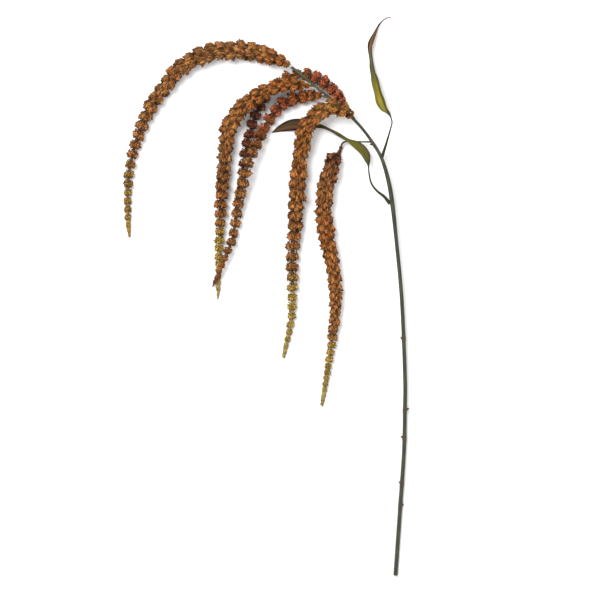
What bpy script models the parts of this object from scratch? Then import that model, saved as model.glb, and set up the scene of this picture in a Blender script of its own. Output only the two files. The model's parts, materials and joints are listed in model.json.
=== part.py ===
"""A cut stem of hanging amaranth, laid flat: a long green stem, six drooping seed tassels and two leaves.

The surface that it lies on is the plane Z = 0, the stem runs along Y with its cut end towards -Y,
and the middle of the plant's outline is the origin. Run it in Blender 4.5.
"""

import math
import random

import bmesh
import bpy
import numpy as np

MM = 0.001
GAP = 0.35  # mm left where one piece grows from another

# Every route is a list of (x, y, lift, half width) in millimetres. Lift is the height of the centreline where
# something below carries the piece. Where lift is lower than the piece's own half width, the piece lies on the table.
STEM_ROUTE = [
    (194.1, -419.0, 3.4, 3.3),
    (201.3, -313.5, 4.5, 3.2),
    (206.7, -231.0, 6.0, 3.1),
    (207.9, -171.0, 7.2, 3.1),
    (208.0, -118.5, 8.4, 3.1),
    (203.1, -6.0, 11.0, 3.1),
    (195.1, 81.0, 12.8, 3.1),
    (188.6, 139.5, 14.2, 3.6),
    (182.8, 172.5, 15.2, 3.4),
    (172.8, 205.5, 16.2, 2.8),
    (158.3, 230.3, 17.0, 2.4),
    (142.5, 251.3, 17.4, 2.3),
    (126.0, 268.5, 17.5, 2.2),
    (108.0, 284.3, 17.8, 2.1),
    (94.5, 296.3, 18.8, 2.0),
    (76.5, 310.0, 21.0, 2.0),
    (57.0, 326.0, 23.6, 2.1),
    (38.0, 340.6, 24.0, 2.2),
]
STEM_SIDES = 10
STEM_STEP = 19.0
STALK_SIDES = 6
STALK_STEP = 4.5
STALK_END = 3.0  # the straight end of a stalk, in line with the tassel that it carries
STALK_WIDTH = 1.7  # its half width there
CURVE_STEPS = 24  # points of the smooth curve from one point of a route to the next
FRAME_REACH = 0.25  # mm to either side over which a curve's direction is taken
SMOOTH_ANGLE = math.radians(50.0)

# Where old leaves fell off, the stem keeps a small bud: mm up from the cut end, angle round the stem, length.
BUDS = [
    (106.0, 0.0, 2.6),
    (139.0, 180.0, 2.6),
    (207.0, 180.0, 3.8),
    (249.0, 0.0, 4.4),
    (356.0, 180.0, 2.8),
    (653.0, 200.0, 3.4),
]
BUD_SIDES = 6
BUD_RINGS = ((0.0, 1.9), (0.55, 1.6), (0.85, 0.9), (1.0, 0.45))  # share of its length, half width in mm
BUD_LEAN = 0.55  # up the stem for each step outwards
BUD_ROOT = 0.2  # how far from the stem's middle it starts, as a share of the stem's half width
BUD_SINK = 0.8  # how much of the stem's half width it runs through

# The thin side branch that carries the nearest tassel.
BRANCH_ROUTE = [
    (157.5, 230.0, 16.8, 1.5),
    (143.0, 230.6, 12.5, 1.2),
    (129.5, 231.8, 7.6, 1.1),
    (118.4, 231.2, 6.6, 1.3),
]

# Each tassel: its route, the distance between whorls, the angle of its first row of lobes, the seed of its
# random draws, the length of its tip in another colour (0 for none), the whorl pressed flat against the table
# (None for none), and the route of its stalk from the stem (none where the stem's own end carries it).
TASSELS = {
    "tassel_1": {
        "route": [
            (36.5, 341.8, 24.0, 2.0),
            (23.0, 350.0, 21.0, 10.0),
            (2.0, 360.0, 16.0, 15.0),
            (-25.5, 366.0, 0.0, 15.8),
            (-54.0, 367.2, 0.0, 15.6),
            (-82.5, 364.2, 0.0, 15.3),
            (-109.5, 353.6, 0.0, 14.8),
            (-133.0, 336.0, 0.0, 14.3),
            (-151.5, 312.5, 0.0, 13.3),
            (-168.5, 289.0, 0.0, 12.4),
            (-180.8, 265.5, 0.0, 11.2),
            (-191.0, 240.0, 0.0, 10.2),
            (-199.0, 214.0, 0.0, 9.0),
            (-204.5, 187.0, 0.0, 8.0),
            (-206.5, 160.0, 0.0, 7.0),
            (-207.0, 135.0, 0.0, 5.8),
            (-206.5, 112.0, 0.0, 4.4),
            (-204.6, 88.0, 0.0, 1.2),
        ],
        "shade": "rust",
        "tip_shade": "yellow",
        "pitch": 15.5,
        "turn": 0,
        "seed": 11,
        "tip": 62.0,
        "rest_whorl": 5,
        "stalk": [],
    },
    "tassel_2": {
        "route": [
            (66.5, 313.2, 22.0, 1.8),
            (57.0, 313.0, 25.0, 6.0),
            (43.5, 313.8, 30.0, 11.5),
            (22.5, 312.5, 33.0, 13.4),
            (2.3, 305.3, 33.0, 13.8),
            (-17.8, 293.4, 31.0, 14.5),
            (-37.0, 278.4, 24.5, 14.7),
            (-50.9, 259.0, 17.0, 14.2),
            (-57.5, 237.5, 0.0, 13.2),
            (-61.2, 213.5, 0.0, 12.4),
            (-63.8, 188.0, 0.0, 11.8),
            (-65.3, 163.5, 0.0, 11.1),
            (-67.0, 138.0, 0.0, 10.2),
            (-68.6, 111.0, 0.0, 8.8),
            (-69.6, 84.0, 0.0, 7.4),
            (-70.5, 58.5, 0.0, 6.2),
            (-71.0, 36.0, 0.0, 4.6),
            (-71.6, 15.0, 0.0, 3.1),
            (-72.0, -4.0, 0.0, 1.1),
        ],
        "shade": "rust",
        "tip_shade": "yellow",
        "pitch": 14.0,
        "turn": 0,
        "seed": 23,
        "tip": 103.0,
        "rest_whorl": None,
        "stalk": [(75.5, 310.8, 20.9, 1.6), (71.0, 312.8, 21.4, 1.5)],
    },
    "tassel_3": {
        "route": [
            (116.8, 286.6, 14.5, 1.8),
            (111.0, 296.5, 11.0, 8.2),
            (100.8, 308.0, 0.0, 10.4),
            (86.2, 320.0, 0.0, 10.8),
            (69.8, 329.2, 0.0, 10.2),
            (51.8, 333.0, 0.0, 9.0),
            (33.0, 328.3, 0.0, 9.0),
            (15.0, 315.0, 0.0, 9.0),
            (-2.5, 295.0, 0.0, 9.0),
            (-16.0, 270.0, 0.0, 9.0),
            (-24.5, 243.0, 0.0, 8.9),
            (-30.5, 216.0, 0.0, 8.6),
            (-34.5, 189.0, 0.0, 7.2),
            (-38.5, 162.0, 0.0, 5.4),
            (-42.8, 136.5, 0.0, 3.6),
            (-46.0, 118.5, 0.0, 1.4),
        ],
        "shade": "maroon",
        "pitch": 15.0,
        "turn": 1,
        "seed": 37,
        "tip": 0.0,
        "rest_whorl": None,
        "stalk": [(113.5, 279.6, 17.4, 1.6), (116.6, 281.6, 16.6, 1.5)],
    },
    "tassel_4": {
        "route": [
            (84.6, 298.0, 18.6, 1.8),
            (73.5, 300.5, 15.0, 8.4),
            (54.5, 297.5, 0.0, 10.8),
            (35.0, 292.5, 0.0, 11.3),
            (18.5, 281.5, 0.0, 11.0),
            (5.0, 264.0, 0.0, 10.3),
            (-6.5, 243.5, 14.5, 9.7),
            (-16.5, 221.5, 22.0, 9.4),
            (-25.5, 198.5, 25.5, 9.4),
            (-32.3, 174.0, 23.0, 9.4),
            (-38.5, 149.0, 17.0, 9.2),
            (-43.5, 124.5, 11.5, 8.7),
            (-47.3, 100.5, 8.8, 8.2),
            (-52.0, 79.0, 11.0, 7.4),
            (-59.5, 60.5, 14.6, 6.0),
            (-66.8, 42.8, 15.0, 4.4),
            (-73.5, 28.0, 11.8, 3.0),
            (-79.5, 15.5, 4.0, 1.4),
        ],
        "shade": "rust",
        "tip_shade": "maroon",
        "pitch": 15.5,
        "turn": 1,
        "seed": 41,
        "tip": 42.0,
        "rest_whorl": None,
        "stalk": [(94.8, 296.2, 18.8, 1.6), (91.6, 296.6, 20.4, 1.5)],
    },
    "tassel_5": {
        "route": [
            (128.0, 268.2, 22.4, 2.6),
            (121.0, 272.8, 31.5, 10.6),
            (103.5, 279.6, 34.3, 14.0),
            (86.5, 276.0, 32.0, 14.2),
            (71.5, 265.8, 27.5, 14.4),
            (59.5, 250.5, 22.5, 14.5),
            (54.0, 229.5, 17.0, 14.4),
            (51.2, 208.0, 0.0, 14.3),
            (48.8, 186.0, 0.0, 14.3),
            (46.5, 159.0, 0.0, 14.2),
            (44.6, 132.0, 0.0, 13.5),
            (42.8, 105.0, 0.0, 12.7),
            (40.8, 79.5, 0.0, 11.3),
            (39.5, 51.0, 0.0, 10.4),
            (39.3, 24.0, 0.0, 9.2),
            (39.5, 0.0, 0.0, 8.2),
            (39.0, -21.0, 0.0, 7.0),
            (36.5, -42.0, 0.0, 5.8),
            (32.0, -64.5, 0.0, 4.4),
            (26.3, -92.3, 0.0, 2.0),
        ],
        "shade": "ochre",
        "tip_shade": "yellow",
        "pitch": 15.5,
        "turn": 0,
        "seed": 53,
        "tip": 117.0,
        "rest_whorl": 14,
        "stalk": [(134.0, 260.4, 17.4, 1.7), (131.8, 264.4, 19.4, 1.6)],
    },
    "tassel_6": {
        "route": [
            (113.2, 225.6, 6.0, 2.4),
            (109.0, 213.5, 0.0, 3.2),
            (102.0, 205.0, 0.0, 12.0),
            (99.0, 193.5, 0.0, 14.0),
            (92.0, 172.5, 0.0, 15.0),
            (87.3, 148.5, 0.0, 14.5),
            (86.6, 123.0, 0.0, 14.2),
            (89.6, 97.5, 0.0, 13.9),
            (94.5, 72.0, 0.0, 13.3),
            (99.0, 48.5, 0.0, 12.9),
            (102.8, 24.0, 0.0, 12.2),
            (104.0, 0.0, 0.0, 11.4),
            (103.2, -24.0, 0.0, 10.2),
            (101.1, -46.5, 0.0, 8.8),
            (98.7, -69.0, 0.0, 7.5),
            (95.3, -91.5, 0.0, 6.3),
            (91.5, -115.5, 0.0, 5.2),
            (87.8, -139.5, 0.0, 4.0),
            (83.4, -164.3, 0.0, 1.8),
        ],
        "shade": "rust",
        "tip_shade": "yellow",
        "pitch": 12.8,
        "turn": 1,
        "seed": 67,
        "tip": 100.0,
        "rest_whorl": 8,
        "stalk": BRANCH_ROUTE,
    },
}

# The shape of a tassel. One whorl is a ring of lobes round the stalk, each a knot of tiny seed husks. The
# lobes of one whorl stand over the furrows of the next.
COLUMNS = 12  # points round a ring of the body: a lobe and a furrow by turns
TIP_COLUMNS = 8
SETTLE = 0.93  # the centreline's height over the table, as a share of the half width, where a tassel lies on it
DENSE_WIDTH = 13.5  # half width in mm from which neighbouring whorls touch
OPEN_WIDTH = 10.0  # half width in mm below which whorls are beads on a bare stalk
SPIKE_WIDTHS = (3.0, 6.0)  # half widths in mm between which a tassel's tip turns into a fine spike
LEAST_WIDTH = 0.8  # least half width, mm
FIRST_WHORL = 2.0  # mm from a tassel's start to its first whorl
LAST_WHORL = 4.0  # no whorl starts closer to the tassel's end than this
BARE_END = 1.0  # mm from the last whorl to the end
FULL_PITCH_WIDTH = 9.0  # half width in mm from which the whorls have their full length
LEAST_PITCH = 0.34  # a whorl's length on the thinnest tip, as a share of the full one
NECKS = (0.34, 0.6, 0.72)  # the stalk's share of a whorl's half width: open, dense and spike
FURROWS = (0.6, 0.68, 0.72)  # the same between two lobes
TIP_NECK = 0.36  # half width of the stalk where the colour changes, as a share of the whorl's
TIP_END = 0.5  # half width of a tassel's very end, mm
WHORL_RINGS = ((0.0, 0.0), (0.38, 0.88), (0.78, 1.0))  # share of the whorl's length, share of the bulge
LOBE_SIZES = (0.84, 1.08)
LOBE_DRIFT = 0.08  # a lobe's shift along the stalk, as a share of the whorl
LOBE_SWAY = 0.22  # its shift round the stalk, as a share of a column

# Each leaf: the petiole's route, then the blade's, as (x, y, lift, half width, fold, roll) with both angles in degrees.
LEAVES = {
    "leaf_upper": {
        "route": [
            (174.4, 210.8, 16.2, 1.5, 0, 0),
            (179.0, 225.5, 16.4, 1.5, 0, 0),
            (184.8, 245.5, 15.8, 1.2, 0, 0),
            (188.2, 259.0, 15.0, 1.1, 0, 10),
            (185.9, 268.5, 13.8, 1.2, 10, 25),
            (181.8, 276.0, 12.8, 3.8, 36, 36),
            (178.6, 281.5, 12.4, 8.0, 40, 38),
            (174.4, 292.0, 11.6, 9.9, 40, 38),
            (169.6, 308.0, 10.8, 9.0, 40, 38),
            (165.6, 325.5, 9.8, 8.2, 42, 42),
            (162.0, 341.0, 8.8, 7.0, 46, 48),
            (159.7, 353.0, 8.0, 4.4, 48, 52),
            (158.4, 366.5, 7.2, 5.9, 46, 48),
            (158.9, 374.5, 6.4, 6.6, 44, 44),
            (160.4, 382.5, 5.6, 5.4, 40, 40),
            (163.3, 391.5, 4.6, 3.8, 36, 32),
            (167.2, 402.5, 3.2, 1.6, 24, 20),
            (173.0, 411.5, 2.2, 1.0, 12, 10),
            (180.2, 417.0, 1.4, 0.8, 6, 5),
            (187.8, 418.6, 1.0, 0.6, 0, 0),
        ],
        "blade_from": 5,
    },
    "leaf_lower": {
        "route": [
            (182.9, 141.2, 14.0, 1.9, 0, 0),
            (176.2, 149.2, 13.4, 1.7, 0, 0),
            (165.8, 157.5, 12.2, 1.4, 0, 0),
            (157.8, 168.0, 11.6, 1.3, 0, 0),
            (154.4, 181.5, 11.6, 1.2, 0, -5),
            (153.2, 194.5, 12.4, 1.3, 8, -15),
            (151.8, 202.5, 13.4, 4.6, 20, -22),
            (146.0, 213.0, 15.0, 8.8, 24, -30),
            (135.6, 222.6, 16.6, 8.4, 24, -38),
            (120.0, 232.4, 17.0, 4.6, 22, -46),
            (103.0, 243.6, 12.6, 3.6, 20, -44),
            (89.0, 251.4, 7.6, 2.8, 14, -34),
            (77.3, 255.2, 4.6, 3.8, 10, -20),
            (63.5, 257.0, 2.8, 7.6, 8, -8),
            (49.5, 257.0, 2.2, 9.0, 6, -4),
            (37.0, 256.2, 2.1, 8.6, 8, -4),
            (22.0, 251.6, 1.6, 5.2, 8, -2),
            (9.0, 245.4, 1.0, 0.6, 0, 0),
        ],
        "blade_from": 6,
    },
}
LEAF_STEP = 6.5
SHEET = (-1.0, -0.5, 0.0, 0.5, 1.0)  # points across the blade, as shares of its half width
BLADE_START = (-8.0, 6.0)  # mm before and after the start over which the round petiole turns flat
FULL_WAVE_WIDTH = 6.0  # half width in mm from which the blade's edge has its full wave
LEAF_CLEARANCE = 0.05
BLADE_EDGE = 0.35  # half of the blade's thickness at its edge, mm
BLADE_RIB = 0.9  # half of its thickness over the midrib, mm
WAVE_HEIGHT = 0.7
WAVE_LENGTH = 31.0

STEM_GREEN = (0.075, 0.095, 0.032)
LEAF_OLIVE = (0.16, 0.18, 0.04)
HUSK_SHADES = {
    "rust": (0.36, 0.13, 0.035),
    "maroon": (0.13, 0.035, 0.02),
    "ochre": (0.45, 0.18, 0.045),
    "yellow": (0.5, 0.33, 0.06),
}


def clear_scene():
    for old in list(bpy.data.objects):
        bpy.data.objects.remove(old)


def material(name, shade, roughness):
    """A matt plant surface in one colour."""
    made = bpy.data.materials.new(name)
    made.use_nodes = True
    shader = made.node_tree.nodes["Principled BSDF"]
    shader.inputs["Base Color"].default_value = (*shade, 1.0)
    shader.inputs["Roughness"].default_value = roughness
    shader.inputs["Metallic"].default_value = 0.0
    made.diffuse_color = (*shade, 1.0)
    return made


def smooth(route):
    """A dense smooth curve through a route's points, every column of the route carried along."""
    knots = np.array(route, float)
    knots = np.vstack([2 * knots[0] - knots[1], knots, 2 * knots[-1] - knots[-2]])
    shares = np.linspace(0.0, 1.0, CURVE_STEPS, endpoint=False)[:, None]
    runs = []
    for before, here, there, after in zip(knots, knots[1:], knots[2:], knots[3:]):
        bend = 2 * before - 5 * here + 4 * there - after
        twist = 3 * here - before - 3 * there + after
        runs.append(0.5 * (2 * here + (there - before) * shares + bend * shares**2 + twist * shares**3))
    return np.vstack([*runs, knots[-2:-1]])


def lengths(curve):
    """How far along the curve each of its points lies."""
    return np.concatenate([[0.0], np.cumsum(np.linalg.norm(np.diff(curve[:, :3], axis=0), axis=1))])


def at(curve, along, where):
    """The curve's columns at a distance along it."""
    return np.array([np.interp(where, along, column) for column in curve.T])


def frame_at(curve, along, where):
    """The curve's columns there, with its direction, its level sideways direction and its upward one."""
    ahead = at(curve, along, min(where + FRAME_REACH, along[-1]))[:3]
    behind = at(curve, along, max(where - FRAME_REACH, 0.0))[:3]
    forward = (ahead - behind) / np.linalg.norm(ahead - behind)
    side = np.cross(forward, (0.0, 0.0, 1.0))
    side /= np.linalg.norm(side)
    return at(curve, along, where), forward, side, np.cross(side, forward)


def skin(name, rings, finish, folded=False):
    """One closed body over a list of rings with the same number of points, its two ends closed flat.
    A folded sheet has the same split into triangles on its upper and its lower face."""
    form = bmesh.new()
    rows = [[form.verts.new(np.asarray(point) * MM) for point in ring] for ring in rings]
    count = len(rows[0])
    for low, high in zip(rows, rows[1:]):
        for i in range(count):
            j = (i + 1) % count
            if folded and i >= count // 2:
                form.faces.new((low[i], low[j], high[i]))
                form.faces.new((low[j], high[j], high[i]))
            else:
                form.faces.new((low[i], low[j], high[j]))
                form.faces.new((low[i], high[j], high[i]))
    form.faces.new(rows[0][::-1])
    form.faces.new(rows[-1])
    bmesh.ops.recalc_face_normals(form, faces=form.faces)
    mesh = bpy.data.meshes.new(name)
    form.to_mesh(mesh)
    form.free()
    mesh.shade_smooth()
    mesh.set_sharp_from_angle(angle=SMOOTH_ANGLE)
    mesh.materials.append(finish)
    made = bpy.data.objects.new(name, mesh)
    bpy.context.collection.objects.link(made)
    return made


def tube(name, route, sides, step, finish, start=0.0, end=0.0):
    """A round tapering rod along a route, cut short by start and end millimetres."""
    curve = smooth(route)
    along = lengths(curve)
    stops = np.linspace(start, along[-1] - end, max(3, round(along[-1] / step) + 1))
    turns = [2 * math.pi * k / sides for k in range(sides)]
    rings = []
    for stop in stops:
        here, _, side, up = frame_at(curve, along, stop)
        rings.append([here[:3] + here[3] * (math.cos(t) * side + math.sin(t) * up) for t in turns])
    return skin(name, rings, finish)


def bud(name, where, angle, length, curve, along, finish):
    """A short blunt bud that leans up the stem, its root sunk in it."""
    here, forward, side, up = frame_at(curve, along, where)
    out = math.cos(math.radians(angle)) * side + math.sin(math.radians(angle)) * up
    lean = (out + BUD_LEAN * forward) / np.linalg.norm(out + BUD_LEAN * forward)
    root = here[:3] + out * here[3] * BUD_ROOT
    across = np.cross(lean, forward)
    across /= np.linalg.norm(across)
    other = np.cross(lean, across)
    turns = [2 * math.pi * k / BUD_SIDES for k in range(BUD_SIDES)]
    rings = []
    for reach, radius in BUD_RINGS:
        middle = root + lean * reach * (length + here[3] * BUD_SINK)
        rings.append([middle + radius * (math.cos(t) * across + math.sin(t) * other) for t in turns])
    return skin(name, rings, finish)


def joined(whole, extras):
    """Fuses the extras into the whole with one Boolean union, and removes them."""
    group = bpy.data.collections.new("to_join")
    for extra in extras:
        group.objects.link(extra)
    cut = whole.modifiers.new("join", "BOOLEAN")
    cut.operation = "UNION"
    cut.operand_type = "COLLECTION"
    cut.collection = group
    cut.solver = "EXACT"
    graph = bpy.context.evaluated_depsgraph_get()
    mesh = bpy.data.meshes.new_from_object(whole.evaluated_get(graph))
    whole.modifiers.clear()
    whole.data = mesh
    for extra in extras:
        bpy.data.objects.remove(extra)
    bpy.data.collections.remove(group)
    return whole


def main_stem(finish):
    """The stem with its buds, its side branch and the short stalks that the tassels grow on."""
    curve = smooth(STEM_ROUTE)
    along = lengths(curve)
    stem = tube("stem", STEM_ROUTE, STEM_SIDES, STEM_STEP, finish, end=GAP)
    extras = [bud(f"bud_{k}", *spot, curve, along, finish) for k, spot in enumerate(BUDS)]
    for name, plan in TASSELS.items():
        if not plan["stalk"]:
            continue
        carried = settled(plan["route"])
        first, forward, _, _ = frame_at(carried, lengths(carried), 0.0)
        lead = np.append(first[:3] - forward * STALK_END, STALK_WIDTH)
        end = np.append(first[:3], STALK_WIDTH)
        route = [*plan["stalk"], tuple(lead), tuple(end)]
        extras.append(tube(f"{name}_stalk", route, STALK_SIDES, STALK_STEP, finish, end=GAP))
    return joined(stem, extras)


def whorl_stops(along, curve, pitch):
    """Where each whorl starts: a steady pitch, closer together as the tassel narrows to its tip."""
    stops = [FIRST_WHORL]
    while stops[-1] < along[-1] - LAST_WHORL:
        width = at(curve, along, stops[-1])[3]
        shrink = min(1.0, LEAST_PITCH + (1.0 - LEAST_PITCH) * width / FULL_PITCH_WIDTH)
        stops.append(stops[-1] + pitch * shrink)
    stops[-1] = along[-1] - BARE_END
    return stops


def blend(value, low, high):
    return min(1.0, max(0.0, (value - low) / (high - low)))


def whorl_rings(curve, along, start, pitch, columns, turn, draw, flat):
    """The three rings of one whorl: the neck behind it, its shoulder, and its drooping belly."""
    width = at(curve, along, start + 0.5 * pitch)[3]
    dense = blend(width, OPEN_WIDTH, DENSE_WIDTH)
    spike = 1.0 - blend(width, *SPIKE_WIDTHS)
    neck = max(NECKS[0] + (NECKS[1] - NECKS[0]) * dense, NECKS[2] * spike)
    furrow = FURROWS[0] + (FURROWS[1] - FURROWS[0]) * dense + (FURROWS[2] - FURROWS[0]) * spike
    lobes = [draw.uniform(*LOBE_SIZES) for _ in range(columns)]
    drift = [draw.uniform(-LOBE_DRIFT, LOBE_DRIFT) for _ in range(columns)]
    sway = [draw.uniform(-LOBE_SWAY, LOBE_SWAY) for _ in range(columns)]
    lowest = columns * 3 // 4  # the point of a ring that looks straight down
    rings = []
    for share, bulge in WHORL_RINGS:
        ring = []
        for k in range(columns):
            on_lobe = (k + turn) % 2 == 0
            place = start + pitch * (share + (drift[k] if share else 0.0))
            here, _, side, up = frame_at(curve, along, min(max(place, 0.0), along[-1]))
            crest = lobes[k] if on_lobe else furrow
            radius = here[3] * (neck + (crest - neck) * bulge)
            angle = 2 * math.pi * (k + sway[k] * bulge) / columns
            point = here[:3] + radius * (math.cos(angle) * side + math.sin(angle) * up)
            pressed = flat and share > 0.0 and abs(k - lowest) <= 1
            point[2] = 0.0 if pressed else max(point[2], 0.0)
            ring.append(point)
        rings.append(ring)
    return rings


def end_ring(curve, along, where, radius, columns):
    here, _, side, up = frame_at(curve, along, where)
    turns = [2 * math.pi * k / columns for k in range(columns)]
    ring = [here[:3] + radius * (math.cos(t) * side + math.sin(t) * up) for t in turns]
    for point in ring:
        point[2] = max(point[2], 0.0)
    return ring


def settled(route):
    """The dense centreline of a tassel, no lower than its own half width allows."""
    curve = smooth(route)
    curve[:, 3] = np.maximum(curve[:, 3], LEAST_WIDTH)
    curve[:, 2] = np.maximum(curve[:, 2], curve[:, 3] * SETTLE)
    return curve


def tassel(name, plan, husks):
    """One tassel: its body and, where it has one, its tip in another colour, each a closed body of its own."""
    draw = random.Random(plan["seed"])
    curve = settled(plan["route"])
    along = lengths(curve)
    stops = whorl_stops(along, curve, plan["pitch"])
    colour_change = along[-1] - plan["tip"]
    body = [end_ring(curve, along, 0.0, curve[0, 3], COLUMNS)]
    tip = []
    for number, (start, end) in enumerate(zip(stops, stops[1:])):
        in_tip = plan["tip"] > 0.0 and start >= colour_change
        columns = TIP_COLUMNS if in_tip else COLUMNS
        flat = number == plan["rest_whorl"]
        rings = whorl_rings(curve, along, start, end - start, columns, plan["turn"] + number, draw, flat)
        if in_tip and not tip:
            neck = at(curve, along, start)[3] * TIP_NECK
            body.append(end_ring(curve, along, start - GAP, neck, COLUMNS))
            rings[0] = end_ring(curve, along, start, neck, TIP_COLUMNS)
        (tip if in_tip else body).extend(rings)
    last = tip or body
    last.append(end_ring(curve, along, along[-1], TIP_END, len(last[-1])))
    skin(name, body, husks[plan["shade"]])
    if tip:
        skin(f"{name}_tip", tip, husks[plan["tip_shade"]])


def leaf(name, plan, finish):
    """A petiole that widens into a folded, gently waved blade, as one closed body."""
    curve = smooth(plan["route"])
    along = lengths(curve)
    blade_start = along[plan["blade_from"] * CURVE_STEPS]
    stops = np.arange(GAP, along[-1], LEAF_STEP)
    stops = np.append(stops[:-1], along[-1])
    rings = []
    for stop in stops:
        here, _, side, up = frame_at(curve, along, stop)
        half, fold, roll = here[3], math.radians(here[4]), math.radians(here[5])
        flatness = blend(stop, blade_start + BLADE_START[0], blade_start + BLADE_START[1])
        wave = WAVE_HEIGHT * math.sin(2 * math.pi * stop / WAVE_LENGTH) * flatness
        wave *= min(1.0, half / FULL_WAVE_WIDTH)
        across = math.cos(roll) * side + math.sin(roll) * up
        above = math.cos(roll) * up - math.sin(roll) * side
        edge = min(BLADE_EDGE, half)
        rib = min(BLADE_RIB, half)
        sheet = []
        for share in SHEET:
            out = half * share * math.cos(fold)
            rise = half * abs(share) * math.sin(fold)
            if abs(share) == 1.0:
                rise += wave * share
            thick = rib + (edge - rib) * abs(share) ** 0.5
            sheet.append((out, rise, thick))
        upper = [(out, rise + thick) for out, rise, thick in sheet]
        lower = [(out, rise - thick) for out, rise, thick in sheet[::-1]]
        ring = []
        for k, (out, rise) in enumerate(upper + lower):
            angle = math.pi - math.pi * (k + 0.5) / len(SHEET)
            round_out, round_rise = half * math.cos(angle), half * math.sin(angle)
            x = round_out + (out - round_out) * flatness
            z = round_rise + (rise - round_rise) * flatness
            point = here[:3] + across * x + above * z
            point[2] = max(point[2], LEAF_CLEARANCE)
            ring.append(point)
        rings.append(ring)
    return skin(name, rings, finish, folded=True)


def main():
    clear_scene()
    green = material("stem_green", STEM_GREEN, 0.55)
    olive = material("leaf_olive", LEAF_OLIVE, 0.5)
    husks = {name: material(f"husks_{name}", shade, 0.85) for name, shade in HUSK_SHADES.items()}
    main_stem(green)
    for name, plan in TASSELS.items():
        tassel(name, plan, husks)
    for name, plan in LEAVES.items():
        leaf(name, plan, olive)


main()
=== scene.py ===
"""Dresses a cut stem of hanging amaranth that lies on a table.

Six drooping tassels get their seed husks, two twisted leaves their midribs and veins, and the stem its ribs,
buds and stalks. Every route and width repeats the solid plant that the frame holds, in millimetres.
"""

import json
import math
import random

import bpy
import numpy as np
from bpy.props import FloatProperty, FloatVectorProperty, PointerProperty
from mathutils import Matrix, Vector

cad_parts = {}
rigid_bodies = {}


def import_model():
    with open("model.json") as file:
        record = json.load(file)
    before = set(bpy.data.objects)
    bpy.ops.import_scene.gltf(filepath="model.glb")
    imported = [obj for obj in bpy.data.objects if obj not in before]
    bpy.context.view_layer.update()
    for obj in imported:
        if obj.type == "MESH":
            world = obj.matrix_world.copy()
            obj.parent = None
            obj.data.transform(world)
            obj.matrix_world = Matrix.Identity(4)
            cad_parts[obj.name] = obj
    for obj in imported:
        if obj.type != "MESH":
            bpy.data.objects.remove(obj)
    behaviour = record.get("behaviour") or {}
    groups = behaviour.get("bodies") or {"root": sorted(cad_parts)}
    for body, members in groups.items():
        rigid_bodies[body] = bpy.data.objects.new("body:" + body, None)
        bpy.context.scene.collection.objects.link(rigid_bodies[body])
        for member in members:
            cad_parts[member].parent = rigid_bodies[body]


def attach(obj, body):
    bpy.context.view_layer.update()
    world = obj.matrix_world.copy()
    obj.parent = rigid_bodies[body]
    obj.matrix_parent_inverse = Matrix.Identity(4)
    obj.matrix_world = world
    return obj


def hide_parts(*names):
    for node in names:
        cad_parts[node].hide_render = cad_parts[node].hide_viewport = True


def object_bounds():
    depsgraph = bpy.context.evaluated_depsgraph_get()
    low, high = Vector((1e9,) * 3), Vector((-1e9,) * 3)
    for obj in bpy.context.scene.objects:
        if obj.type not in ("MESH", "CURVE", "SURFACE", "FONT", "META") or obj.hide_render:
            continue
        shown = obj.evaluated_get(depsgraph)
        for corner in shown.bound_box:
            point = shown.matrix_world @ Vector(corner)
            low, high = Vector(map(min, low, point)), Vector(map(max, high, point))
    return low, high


bl_info = {
    "name": "Hanging amaranth",
    "version": (1, 0, 0),
    "blender": (4, 5, 0),
    "location": "View3D > Sidebar > Amaranth",
    "description": "Husks, leaves and stem of a cut hanging amaranth",
    "category": "Object",
}

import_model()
CAD_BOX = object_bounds()
MM = 0.001

# Every route is a list of (x, y, lift, half width) in millimetres. Where lift is lower than a tassel's own
# half width, the tassel lies on the table there.
STEM_ROUTE = [
    (194.1, -419, 3.4, 3.3), (201.3, -313.5, 4.5, 3.2), (206.7, -231, 6, 3.1), (207.9, -171, 7.2, 3.1),
    (208, -118.5, 8.4, 3.1), (203.1, -6, 11, 3.1), (195.1, 81, 12.8, 3.1), (188.6, 139.5, 14.2, 3.6),
    (182.8, 172.5, 15.2, 3.4), (172.8, 205.5, 16.2, 2.8), (158.3, 230.3, 17, 2.4), (142.5, 251.3, 17.4, 2.3),
    (126, 268.5, 17.5, 2.2), (108, 284.3, 17.8, 2.1), (94.5, 296.3, 18.8, 2), (76.5, 310, 21, 2),
    (57, 326, 23.6, 2.1), (38, 340.6, 24, 2.2),
]

# Buds left by old leaves: mm up from the cut end, angle round the stem in degrees, length in mm.
BUDS = [
    (106, 0, 2.6), (139, 180, 2.6), (207, 180, 3.8), (249, 0, 4.4), (356, 180, 2.8), (653, 200, 3.4),
]

# The thin side branch that carries the nearest tassel.
BRANCH_ROUTE = [
    (157.5, 230, 16.8, 1.5), (143, 230.6, 12.5, 1.2), (129.5, 231.8, 7.6, 1.1), (118.4, 231.2, 6.6, 1.3),
]

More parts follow.
